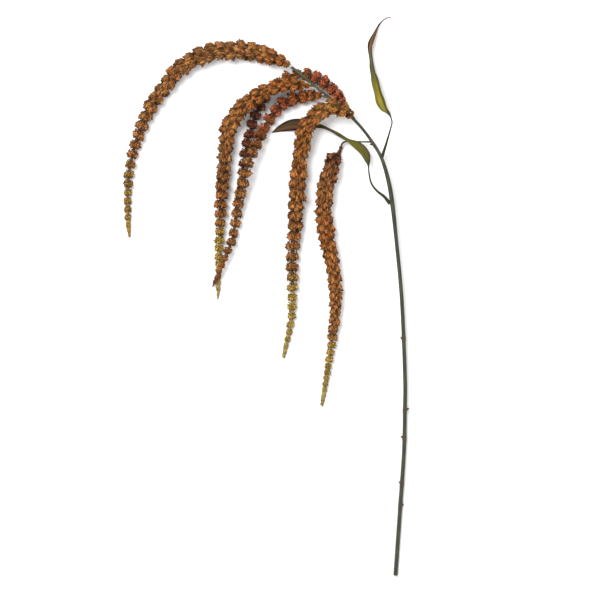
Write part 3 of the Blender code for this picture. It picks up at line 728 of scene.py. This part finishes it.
def tassel_parts(path, plan, settings):
    """For the body and then the tip: the stalk's rings, and what its points and the bracts' points carry."""
    draw = random.Random(plan["seed"] + BRACT_SEED)
    whorls = list(tassel_whorls(plan, path))
    for in_tip, tone in enumerate(STALK_TONES):
        group = [whorl for whorl in whorls if whorl["in_tip"] == bool(in_tip)]
        if not group:
            continue
        start = group[0]["start"]
        end = path.length if group[-1] is whorls[-1] else group[-1]["start"] + group[-1]["step"]
        near = [whorl for whorl in whorls if start - WHORL_REACH < whorl["start"] < end + WHORL_REACH]
        stops = np.linspace(start, end, max(LEAST_RINGS, round((end - start) / CORE_STEP)))
        rings = [core_ring(path, plan, stop, near, tone) for stop in stops]
        lobes = [(whorl, lobe) for whorl in group for lobe in whorl["lobes"]]
        bracts = [lobe_bracts(path, whorl, lobe, settings, draw) for whorl, lobe in lobes]
        carried = {label: np.concatenate([part[label] for part in rings + bracts]) for label in rings[0]}
        yield np.array([ring["spots"] for ring in rings]), carried


def pod(rings, bend, sides, ridges, ridge_height):
    """A closed pod of unit length along Z, bent towards X at its point, and how far up its points are."""
    points, reach = [], []
    for height, half in rings:
        for k in range(sides):
            angle = 2.0 * math.pi * k / sides
            radius = half * (1.0 + ridge_height * math.cos(ridges * angle))
            points.append((radius * math.cos(angle) + bend * height**2, radius * math.sin(angle), height))
            reach.append(max(height, 0.0))
    points.append((bend, 0.0, 1.0))
    reach.append(1.0)
    faces = []
    for ring in range(len(rings) - 1):
        for k in range(sides):
            low, next_k = ring * sides, (k + 1) % sides
            faces.append((low + k, low + next_k, low + sides + next_k, low + sides + k))
    top = (len(rings) - 1) * sides
    faces.extend((top + k, top + (k + 1) % sides, top + sides) for k in range(sides))
    faces.append(tuple(range(sides))[::-1])
    return points, faces, reach


def shape_collection(kind, shapes):
    """Bracts or husks to be repeated, unlinked from the scene."""
    group = bpy.data.collections.new(f"{kind}s")
    for letter, shape in zip("abcd", shapes):
        points, faces, reach = pod(*shape)
        numbers = {"husk_reach": reach}
        if kind == "bract":
            numbers = {"reach": reach, "husk_reach": [BRACT_HUSK_REACH] * len(reach)}
        name = f"{kind}_{letter}"
        mesh = make_mesh(name, np.array(points) / MM, faces, numbers)
        group.objects.link(bpy.data.objects.new(name, mesh))
    return group


def husk_tree():
    """Geometry nodes: a bract on every loose point, small husks over them, and the stalk under them."""
    tree = bpy.data.node_groups.new("cover_with_husks", "GeometryNodeTree")
    kinds = {"Geometry": "Geometry", "Bracts": "Collection", "Husks": "Collection", "Seed": "Int"}
    kinds.update({label: "Float" for label in TREE_NUMBERS}, Finish="Material")
    for label, kind in kinds.items():
        tree.interface.new_socket(label, in_out="INPUT", socket_type="NodeSocket" + kind)
    tree.interface.new_socket("Geometry", in_out="OUTPUT", socket_type="NodeSocketGeometry")
    nodes = Nodes(tree)
    node, maths = nodes.node, nodes.maths

    def named(label, kind="FLOAT"):
        return node("GeometryNodeInputNamedAttribute", {"Name": label}, data_type=kind).outputs["Attribute"]

    def vectors(operation, inputs):
        return node("ShaderNodeVectorMath", inputs, operation=operation).outputs

    def compared(operation, first, second):
        inputs = {0: first, 1: second}
        return node("FunctionNodeCompare", inputs, data_type="FLOAT", operation=operation).outputs[0]

    def random_value(low, high, salt, data_type="FLOAT"):
        first, result = (2, 1) if data_type == "FLOAT" else (4, 2)
        inputs = {first: low, first + 1: high, "Seed": maths("ADD", given["Seed"], salt)}
        return node("FunctionNodeRandomValue", inputs, data_type=data_type).outputs[result]

    def turned(facing, across, spin):
        axes = {"primary_axis": "Z", "secondary_axis": "X"}
        rotation = node("FunctionNodeAxesToRotation", {0: facing, 1: across}, **axes)
        twist = node("FunctionNodeAxisAngleToRotation", {"Axis": (0.0, 0.0, 1.0), "Angle": spin})
        inputs = {0: rotation.outputs[0], 1: twist.outputs[0]}
        return node("FunctionNodeRotateRotation", inputs, rotation_space="LOCAL").outputs[0]

    def repeated(points, label, pick, rotation, length, across, selection=True):
        inputs = {"Collection": given[label], "Separate Children": True, "Reset Children": True}
        inputs = {
            "Points": points,
            "Selection": selection,
            "Instance": node("GeometryNodeCollectionInfo", inputs).outputs[0],
            "Pick Instance": True,
            "Instance Index": pick,
            "Rotation": rotation,
            "Scale": node("ShaderNodeCombineXYZ", {0: across, 1: across, 2: length}).outputs[0],
        }
        return node("GeometryNodeInstanceOnPoints", inputs).outputs[0]

    def stored(geometry, label, value):
        inputs = {"Geometry": geometry, "Name": label, "Value": value}
        made = node("GeometryNodeStoreNamedAttribute", inputs, data_type="FLOAT", domain="INSTANCE")
        return made.outputs[0]

    def realized(*geometries):
        joined = node("GeometryNodeJoinGeometry")
        for geometry in geometries:
            tree.links.new(geometry, joined.inputs[0])
        return node("GeometryNodeRealizeInstances", {"Geometry": joined.outputs[0]}).outputs[0]

    given = node("NodeGroupInput").outputs
    size = named("size")
    facing = named("facing", "FLOAT_VECTOR")
    is_bract = compared("GREATER_THAN", size, 0.0)
    spin = random_value(-BRACT_SPIN, BRACT_SPIN, 1)
    rotation = turned(facing, named("along", "FLOAT_VECTOR"), spin)
    girth = maths("MULTIPLY", named("girth"), given["Bract width"])
    pick = random_value(0, len(BRACTS) - 1, 2, "INT")
    bracts = repeated(given["Geometry"], "Bracts", pick, rotation, size, girth, is_bract)
    for label, value in (
        ("tone", random_value(0.0, 1.0, 3)),
        ("tint", random_value(0.0, 1.0, 4)),
        ("husk_tone", BRACT_HUSK_REACH),
    ):
        bracts = stored(bracts, label, value)
    inputs = {"Geometry": given["Geometry"], "Selection": is_bract}
    stalk = node("GeometryNodeDeleteGeometry", inputs, domain="POINT").outputs[0]
    covered = realized(stalk, bracts)

    inputs = {0: node("GeometryNodeInputNormal").outputs[0], 1: named("outward", "FLOAT_VECTOR")}
    shows = compared("GREATER_THAN", vectors("DOT_PRODUCT", inputs)["Value"], HUSKS_FACE)
    inputs = {0: shows, 1: compared("LESS_THAN", named("reach"), HUSKS_END)}
    inputs = {
        "Mesh": covered,
        "Selection": node("FunctionNodeBooleanMath", inputs, operation="AND").outputs[0],
        "Distance Min": given["Husk spacing"],
        "Density Max": MOST_HUSKS,
        "Seed": given["Seed"],
    }
    scattered = node("GeometryNodeDistributePointsOnFaces", inputs, distribute_method="POISSON").outputs
    rise = vectors("SCALE", {0: scattered["Normal"], 3: HUSK_RISE})["Vector"]
    lying = vectors("ADD", {0: rise, 1: facing})["Vector"]
    rotation = turned(lying, scattered["Normal"], random_value(-HUSK_SPIN, HUSK_SPIN, 5))
    share = maths("ADD", HUSK_LENGTHS[0], maths("MULTIPLY", maths("ABSOLUTE", size), HUSK_LENGTHS[1]))
    low = maths("SUBTRACT", 1.0, given["Variation"])
    high = maths("ADD", 1.0, given["Variation"])
    length = maths("MULTIPLY", maths("MULTIPLY", given["Husk length"], share), random_value(low, high, 6))
    across = maths("MULTIPLY", length, given["Husk width"])
    pick = random_value(0, len(HUSKS) - 1, 7, "INT")
    husks = repeated(scattered["Points"], "Husks", pick, rotation, length, across)
    husks = stored(husks, "husk_tone", random_value(0.0, 1.0, 8))
    husks = node("GeometryNodeRealizeInstances", {"Geometry": husks}).outputs[0]
    inputs = {"Geometry": realized(husks, covered), "Material": given["Finish"]}
    node("NodeGroupOutput", {"Geometry": node("GeometryNodeSetMaterial", inputs).outputs[0]})
    return tree


def made_by_tree(name, mesh, tree, inputs):
    """A plain mesh object from what the tree makes of the mesh."""
    source = place(name + "_source", mesh)
    modifier = source.modifiers.new("husks", "NODES")
    modifier.node_group = tree
    for item in tree.interface.items_tree:
        if item.in_out == "INPUT" and item.name in inputs:
            modifier[item.identifier] = inputs[item.name]
    graph = bpy.context.evaluated_depsgraph_get()
    result = bpy.data.meshes.new_from_object(source.evaluated_get(graph))
    result.name = name
    source.modifiers.clear()
    bpy.data.objects.remove(source)
    return place(name, result)


def pressed(mesh):
    """Presses what would reach under the table gently against it, and evens out the highest points."""
    spots = np.empty(len(mesh.vertices) * 3, np.float32)
    mesh.vertices.foreach_get("co", spots)
    spots = spots.reshape(-1, 3)
    height = spots[:, 2] / MM
    over_table = TABLE_CLEARANCE + PRESS_DEPTH * np.exp(np.minimum(height - PRESS_HEIGHT, 0.0) / PRESS_DEPTH)
    height = np.where(height < PRESS_HEIGHT, over_table, height)
    top = CAD_BOX[1][2] / MM - TOP_MARGIN
    under_top = top + TOP_DEPTH * (1.0 - np.exp(-np.maximum(height - top, 0.0) / TOP_DEPTH))
    spots[:, 2] = np.where(height > top, under_top, height) * MM
    mesh.vertices.foreach_set("co", spots.ravel())
    mesh.update()


def build_tassel(name, plan, settings, tree, bracts, husks):
    """A tassel's body and, where it has one, its tip in another colour."""
    path = Path(plan["route"], settle=SETTLE)
    inputs = {label: getattr(settings, label.lower().replace(" ", "_")) for label in TREE_NUMBERS}
    inputs.update(Bracts=bracts, Husks=husks, Finish=husk_finish(f"{name}_husks", plan["hues"], settings))
    for in_tip, (rings, carried) in enumerate(tassel_parts(path, plan, settings)):
        piece_name = f"{name}_tip" if in_tip else name
        spots = carried.pop("spots")
        mesh = make_mesh(piece_name, spots, turned_out(spots, loft(rings)[1]), carried)
        made = made_by_tree(f"{piece_name}_husks", mesh, tree, {**inputs, "Seed": plan["seed"] + in_tip})
        pressed(made.data)
        finish_piece(made, plan["slots"][in_tip], piece_name)


# Leaves

LEAF_ROWS = 170
LEAF_COLUMNS = 17
BLADE_HALF = 0.26  # mm, half the blade's thickness
THIN_SHARE = 0.8
WIDENING = (8.0, 6.0)  # mm before and after the blade's start in which the petiole turns flat
GROOVE = (0.3, 0.07)  # how deep it is in mm, and its breadth as a share of the half width
MIDRIB = (0.55, 0.09)
RIB_HALF = 4.0  # half width in mm from which on the midrib is full
WAVE_HEIGHT = 0.7
WAVE_LENGTH = 31.0
WAVE_HALF = 6.0
PETIOLE_ROOT = 4.0  # mm by which the petiole is sunk in the stem
PETIOLE_FLARE = 0.8  # mm of half width that it gains there
FLARE_LENGTH = 18.0


def build_leaf(name, plan, finish):
    """A round petiole that widens into a folded blade with a midrib under it and a groove over it."""
    path = Path(plan["route"])
    blade_start = path.along[plan["blade_from"] * Path.STEPS]
    across = np.linspace(-1.0, 1.0, LEAF_COLUMNS)
    count = 2 * LEAF_COLUMNS
    angles = math.pi - 2.0 * math.pi * (np.arange(count) + 0.5) / count
    rings, shares, blades = [], [], []
    for stop in np.linspace(-PETIOLE_ROOT, path.length, LEAF_ROWS):
        here, forward, side, up = path.frames(max(stop, 0.0))
        middle = here[:3] + forward * min(stop, 0.0)
        half = here[3] + PETIOLE_FLARE * math.exp(-max(stop, 0.0) / FLARE_LENGTH)
        fold = math.radians(here[4])
        flatness = float(blend(stop, blade_start - WIDENING[0], blade_start + WIDENING[1]))
        flatness = flatness * flatness * (3.0 - 2.0 * flatness)
        wave = math.sin(2.0 * math.pi * stop / WAVE_LENGTH) * flatness * min(1.0, half / WAVE_HALF)
        out = half * across * math.cos(fold)
        rise = half * np.abs(across) * math.sin(fold) + WAVE_HEIGHT * wave * across**3
        thin = min(BLADE_HALF, half * THIN_SHARE)
        taper = min(1.0, half / RIB_HALF)
        upper = rise + thin - GROOVE[0] * taper * np.exp(-((across / GROOVE[1]) ** 2))
        lower = rise - thin - MIDRIB[0] * taper * np.exp(-((across / MIDRIB[1]) ** 2))
        flat = np.stack([np.concatenate([out, out[::-1]]), np.concatenate([upper, lower[::-1]])], axis=1)
        tube = half * np.stack([np.cos(angles), np.sin(angles)], axis=1)
        shape = tube + (flat - tube) * flatness
        wide, above = turned_by(math.radians(here[5]), side, up)
        ring = middle + shape[:, :1] * wide + shape[:, 1:] * above
        ring[:, 2] = np.maximum(ring[:, 2], TABLE_CLEARANCE)
        rings.append(ring)
        shares.append(blend(stop, blade_start, path.length))
        blades.append(flatness)
    points, faces = loft(np.array(rings))
    numbers = {
        "share": np.repeat(shares, count),
        "blade": np.repeat(blades, count),
        "across": np.tile(np.concatenate([across, across[::-1]]), LEAF_ROWS),
    }
    mesh = make_mesh(name, points, turned_out(points, faces), numbers)
    mesh.materials.append(finish)
    finish_piece(place(f"{name}_blade", mesh), "leaf", name)


# Stem

STEM_SIDES = 24
STEM_STEP = 1.6
STEM_RIBS = 6
RIB_TWIST = 0.004  # radians per mm
CUT_BEVEL = 0.86
STALK_SIDES = 12
STALK_RIBS = 5
STALK_REACH = (3.0, 4.0)  # mm by which a stalk starts before its tassel and ends in it
STALK_HALF = 1.7
STALK_END_SHARE = 0.9
BUD_SWELL = 0.35
BUD_SPREAD = 6.0
BUD_RIPE = 0.3
NODE_RIPE = 0.5
BUD_LEAN = 0.55
BUD_ROOT = (0.2, 0.8)  # how deep a bud starts and how much longer it is, as shares of the stem's half width
BUD_RINGS = ((0.0, 1.9), (0.3, 1.95), (0.55, 1.7), (0.75, 1.3), (0.9, 0.8), (1.0, 0.2))  # (share, radius)
BUD_RIDGES = (3.0, 4.0, 0.08)  # their count, their twist in radians and their height
SHARP_ANGLE = 50.0


def ribbed_tube(path, sides, ribs, rib_depth, swellings=()):
    """Rings of a ribbed rod along a path, thicker round each swelling, and how near each ring is to one."""
    stops = np.linspace(0.0, path.length, max(LEAST_RINGS, round(path.length / STEM_STEP)))
    here, _, side, up = path.frames(stops)
    cosines, sines, angles = circle(sides)
    near = np.zeros(len(stops))
    for spot in swellings:
        near = np.maximum(near, np.exp(-(((stops - spot) / BUD_SPREAD) ** 2)))
    shape = 1.0 + rib_depth * np.cos(ribs * angles[None] + stops[:, None] * RIB_TWIST) - rib_depth
    radius = (here[:, 3] + BUD_SWELL * near)[:, None] * shape
    out = cosines[None, :, None] * side[:, None] + sines[None, :, None] * up[:, None]
    rings = here[:, None, :3] + radius[:, :, None] * out
    rings[:, :, 2] = np.maximum(rings[:, :, 2], TABLE_CLEARANCE)
    return rings, near


def bud_rings(path, where, angle, length):
    """A blunt leaning bud, its root sunk in the stem."""
    here, forward, side, up = path.frames(where)
    out, _ = turned_by(math.radians(angle), side, up)
    lean = unit(out + BUD_LEAN * forward)
    across = unit(np.cross(lean, forward))
    cosines, sines, turns = circle(STALK_SIDES)
    round_bud = cosines[:, None] * across + sines[:, None] * np.cross(lean, across)
    rings = []
    ridges, twist, ridge_height = BUD_RIDGES
    for reach, radius in BUD_RINGS:
        middle = here[:3] + out * here[3] * BUD_ROOT[0] + lean * reach * (length + here[3] * BUD_ROOT[1])
        wrap = 1.0 + ridge_height * np.cos(ridges * turns + twist * reach)
        rings.append(middle + (radius * wrap)[:, None] * round_bud)
    return np.array(rings)


def stalk_path(plan):
    """The path of a tassel's stalk, on into the tassel's own start."""
    first, forward, _, _ = Path(plan["route"], settle=SETTLE).frames(0.0)
    lead = (*(first[:3] - forward * STALK_REACH[0]), STALK_HALF)
    inner = (*(first[:3] + forward * STALK_REACH[1]), STALK_HALF * STALK_END_SHARE)
    return Path([*plan["stalk"], lead, (*first[:3], STALK_HALF), inner])


def build_stem(settings):
    """The stem, its buds, its side branch and the stalks of the tassels, in one piece."""
    path = Path(STEM_ROUTE)
    rings, near = ribbed_tube(path, STEM_SIDES, STEM_RIBS, settings.rib_depth, [bud[0] for bud in BUDS])
    middle = rings[0].mean(axis=0)
    rings[0] = middle + CUT_BEVEL * (rings[0] - middle)
    bodies = [(rings, near * NODE_RIPE)]
    bodies += [(bud_rings(path, *bud), np.linspace(BUD_RIPE, 1.0, len(BUD_RINGS))) for bud in BUDS]
    for plan in TASSELS.values():
        if plan["stalk"]:
            tube, _ = ribbed_tube(stalk_path(plan), STALK_SIDES, STALK_RIBS, settings.rib_depth)
            bodies.append((tube, np.linspace(0.0, 1.0, len(tube)) ** 2))
    points, faces = np.empty((0, 3)), []
    for rings, _ in bodies:
        spots, sides = loft(rings)
        faces.extend([len(points) + corner for corner in side] for side in turned_out(spots, sides))
        points = np.vstack([points, spots])
    ripe = np.concatenate([np.repeat(ripeness, rings.shape[1]) for rings, ripeness in bodies])
    numbers = {"ripe": ripe, "cut": np.arange(len(points)) < STEM_SIDES}
    mesh = make_mesh("stem", points, faces, numbers)
    mesh.set_sharp_from_angle(angle=math.radians(SHARP_ANGLE))
    mesh.materials.append(stem_finish("stem_bark", settings))
    finish_piece(place("stem_bark", mesh), "stem", "stem")


# Settings, operators and panel


def colour(label, description, value):
    limits = {"min": 0.0, "max": 1.0, "default": value}
    return FloatVectorProperty(name=label, description=description, subtype="COLOR", size=3, **limits)


def number(label, description, value, low, high, **kinds):
    return FloatProperty(name=label, description=description, default=value, min=low, max=high, **kinds)


def distance(label, description, value, low, high):
    return number(label, description, value, low, high, subtype="DISTANCE", unit="LENGTH")


def factor(label, description, value, low, high):
    return number(label, description, value, low, high, subtype="FACTOR")


def power(label, description, value):
    return number(label, description, value, 0.0, 1000.0, unit="POWER")


class AmaranthTassels(bpy.types.PropertyGroup):
    bract_point: distance("Bract point", "How far a bract's point stands out of its lobe", 0.0008, 0.0, 0.01)
    bract_count: number("Bract count", "Bracts on a lobe of the thinnest part of a tassel", 8.0, 1.0, 30.0)
    bract_crowding: number("Bract crowding", "Extra bracts on a lobe per mm of half width", 0.75, 0.0, 5.0)
    bract_girth: distance("Bract girth", "Girth of a bract on a tassel's thinnest part", 0.0011, 0.0002, 0.01)
    bract_growth: number("Bract growth", "Extra girth as a share of the half width", 0.17, 0.0, 1.0)
    bract_width: factor("Bract width", "Width of a bract as a share of its usual width", 1.1, 0.2, 2.0)
    droop: number("Droop", "How far the lobes lean towards the tassel's tip", 0.8, -1.0, 2.0)
    husk_length: distance("Husk length", "Length of a single husk on a large bract", 0.0023, 0.0005, 0.01)
    husk_width: factor("Husk width", "Width of a husk as a share of its length", 1.0, 0.2, 2.0)
    husk_spacing: distance("Husk spacing", "Least distance between two husks", 0.0026, 0.0005, 0.02)
    variation: factor("Size variation", "How much the husks' sizes differ", 0.3, 0.0, 0.9)
    orange: colour("Orange", "Husks near the stem", (0.262, 0.084, 0.016))
    rust: colour("Rust", "Most husks", (0.2, 0.068, 0.015))
    tan: colour("Tan", "The longest and the nearest tassel", (0.215, 0.087, 0.025))
    brown: colour("Brown", "Husks in the middle of a tassel", (0.185, 0.074, 0.022))
    red: colour("Red", "Young husks of the dark tassel", (0.25, 0.06, 0.024))
    maroon: colour("Maroon", "The dark tassel", (0.108, 0.03, 0.014))
    ochre: colour("Ochre", "The brightest tassel", (0.24, 0.094, 0.023))
    mustard: colour("Mustard", "The longest tassel's tip", (0.235, 0.138, 0.032))
    yellow: colour("Yellow", "Unripe husks", (0.335, 0.207, 0.042))
    straw: colour("Straw", "The very tips", (0.21, 0.15, 0.05))


class AmaranthLeaves(bpy.types.PropertyGroup):
    lime: colour("Lime", "The brightest green of a blade", (0.15, 0.135, 0.02))
    yellow: colour("Yellow", "A ripe patch of the upper blade", (0.21, 0.175, 0.02))
    olive: colour("Olive", "The plain green of a blade", (0.085, 0.075, 0.022))
    grey_green: colour("Grey green", "Where a blade turns on its edge", (0.09, 0.082, 0.038))
    brown: colour("Brown", "Withered part", (0.15, 0.068, 0.026))
    plum: colour("Plum", "The lower leaf's dull end", (0.085, 0.038, 0.016))
    rose: colour("Rose", "The upper leaf's dry tip", (0.3, 0.2, 0.18))
    maroon: colour("Maroon", "Dark edges", (0.022, 0.008, 0.01))
    vein: colour("Vein", "Side veins", (0.17, 0.155, 0.05))
    # colour of the painted shade in the midrib's fold and on the half that turns up
    fold_shade: colour("Rib", "Midrib and the half that turns up", (0.03, 0.03, 0.013))
    petiole: colour("Petiole", "Leaf stalk", (0.028, 0.03, 0.013))


class AmaranthStem(bpy.types.PropertyGroup):
    rib_depth: factor("Rib depth", "Depth of the stem's ribs as a share of its half width", 0.035, 0.0, 0.3)
    green: colour("Green", "Most of the stem", (0.038, 0.043, 0.017))
    dark: colour("Dark green", "Its darker streaks", (0.013, 0.015, 0.007))
    pale: colour("Pale green", "Flecks and pale stretches", (0.09, 0.096, 0.043))
    brown: colour("Brown", "Buds and the ends of the stalks", (0.06, 0.028, 0.015))
    pith: colour("Pith", "The cut end", (0.5, 0.5, 0.32))


class AmaranthStage(bpy.types.PropertyGroup):
    floor: colour("Floor", "The plain surface", (0.9, 0.9, 0.9))
    camera_height: distance("Camera height", "Height of the camera over the table", 2.7, 0.5, 10.0)
    framed_width: distance("Framed width", "Width of table that the camera sees", 0.9, 0.1, 5.0)
    key_power: power("Key light", "Power of the main light", 72.0)
    fill_power: power("Fill light", "Power of the fill light", 10.0)
    sky_strength: number("Sky", "Strength of the even light all round", 0.9, 0.0, 10.0)


GROUPS = {
    "amaranth_stem": AmaranthStem,
    "amaranth_tassels": AmaranthTassels,
    "amaranth_leaves": AmaranthLeaves,
    "amaranth_stage": AmaranthStage,
}


class AMARANTH_OT_tassels(bpy.types.Operator):
    """Cover the six tassels with husks"""

    bl_idname = "amaranth.tassels"
    bl_label = "Tassels"

    def execute(self, context):
        shapes = (shape_collection("bract", BRACTS), shape_collection("husk", HUSKS))
        tree = husk_tree()
        for name, plan in TASSELS.items():
            build_tassel(name, plan, context.scene.amaranth_tassels, tree, *shapes)
        for group in shapes:
            for shape in list(group.objects):
                bpy.data.objects.remove(shape)
            bpy.data.collections.remove(group)
        bpy.data.node_groups.remove(tree)
        return {"FINISHED"}


class AMARANTH_OT_leaves(bpy.types.Operator):
    """Shape the two twisted leaves"""

    bl_idname = "amaranth.leaves"
    bl_label = "Leaves"

    def execute(self, context):
        for name, plan in LEAVES.items():
            build_leaf(name, plan, leaf_finish(f"{name}_green", plan, context.scene.amaranth_leaves))
        return {"FINISHED"}


class AMARANTH_OT_stem(bpy.types.Operator):
    """Shape the stem with its ribs, buds and stalks"""

    bl_idname = "amaranth.stem"
    bl_label = "Stem"

    def execute(self, context):
        build_stem(context.scene.amaranth_stem)
        return {"FINISHED"}


class AMARANTH_OT_stage(bpy.types.Operator):
    """Lay the table, set the lights and look straight down"""

    bl_idname = "amaranth.stage"
    bl_label = "Stage"

    TABLE_HALF = 3.0
    VIEW_MIDDLE = (0.051, -0.0056)
    SENSOR_WIDTH = 36.0
    CLIP_END = 50.0
    LIGHTS = (("key", (-0.9, 0.9, 2.3), 1.3), ("fill", (1.6, -1.0, 1.8), 1.8))  # name, place and width
    LIT_SPOT = (0.0, 0.1, 0.0)

    def lay_table(self, settings):
        corners = np.array([(-1.0, -1.0, 0.0), (1.0, -1.0, 0.0), (1.0, 1.0, 0.0), (-1.0, 1.0, 0.0)])
        mesh = make_mesh("table", corners * self.TABLE_HALF / MM, [(0, 1, 2, 3)])
        graph = Graph("table_paper")
        shade = graph.ramp(graph.noise(3.0, 2.0), [(0.3, 0.985), (0.7, 1.0)])
        mesh.materials.append(graph.end(graph.mix(1.0, settings.floor, shade, "MULTIPLY"), 0.9))
        table = place("table", mesh)

    def set_camera(self, scene, settings):
        camera = place("camera", bpy.data.cameras.new("camera"))
        camera.data.sensor_width = self.SENSOR_WIDTH
        camera.data.lens = self.SENSOR_WIDTH * settings.camera_height / settings.framed_width
        camera.data.clip_end = self.CLIP_END
        camera.location = (*self.VIEW_MIDDLE, settings.camera_height)
        scene.camera = camera

    def set_lights(self, scene, settings):
        for name, spot, width in self.LIGHTS:
            light = place(name, bpy.data.lights.new(name, "AREA"))
            light.data.energy = getattr(settings, f"{name}_power")
            light.data.size = width
            light.location = spot
            aim = np.array(self.LIT_SPOT) - np.array(spot)
            flat = math.hypot(aim[0], aim[1])
            light.rotation_euler = (math.atan2(flat, -aim[2]), 0.0, math.atan2(-aim[0], aim[1]))
        world = bpy.data.worlds.new("studio")
        world.use_nodes = True
        sky = world.node_tree.nodes["Background"].inputs
        sky["Color"].default_value = (1.0, 1.0, 1.0, 1.0)
        sky["Strength"].default_value = settings.sky_strength
        scene.world = world
        scene.view_settings.view_transform = "Standard"

    def execute(self, context):
        settings = context.scene.amaranth_stage
        self.lay_table(settings)
        self.set_camera(context.scene, settings)
        self.set_lights(context.scene, settings)
        return {"FINISHED"}


class AMARANTH_PT_panel(bpy.types.Panel):
    """The plant's pieces and their settings"""

    bl_idname = "AMARANTH_PT_panel"
    bl_label = "Hanging amaranth"
    bl_space_type = "VIEW_3D"
    bl_region_type = "UI"
    bl_category = "Amaranth"

    def draw(self, context):
        for group in GROUPS:
            settings = getattr(context.scene, group)
            box = self.layout.box()
            for label in settings.__annotations__:
                box.prop(settings, label)
            box.operator(group.replace("_", ".", 1))


CLASSES = (
    *GROUPS.values(),
    AMARANTH_OT_tassels,
    AMARANTH_OT_leaves,
    AMARANTH_OT_stem,
    AMARANTH_OT_stage,
    AMARANTH_PT_panel,
)


def register():
    for item in CLASSES:
        bpy.utils.register_class(item)
    for label, group in GROUPS.items():
        setattr(bpy.types.Scene, label, PointerProperty(type=group))


def unregister():
    for label in GROUPS:
        delattr(bpy.types.Scene, label)
    for item in reversed(CLASSES):
        bpy.utils.unregister_class(item)


def main():
    register()
    bpy.ops.amaranth.stage()
    bpy.ops.amaranth.stem()
    bpy.ops.amaranth.leaves()
    bpy.ops.amaranth.tassels()


if __name__ == "__main__":
    main()
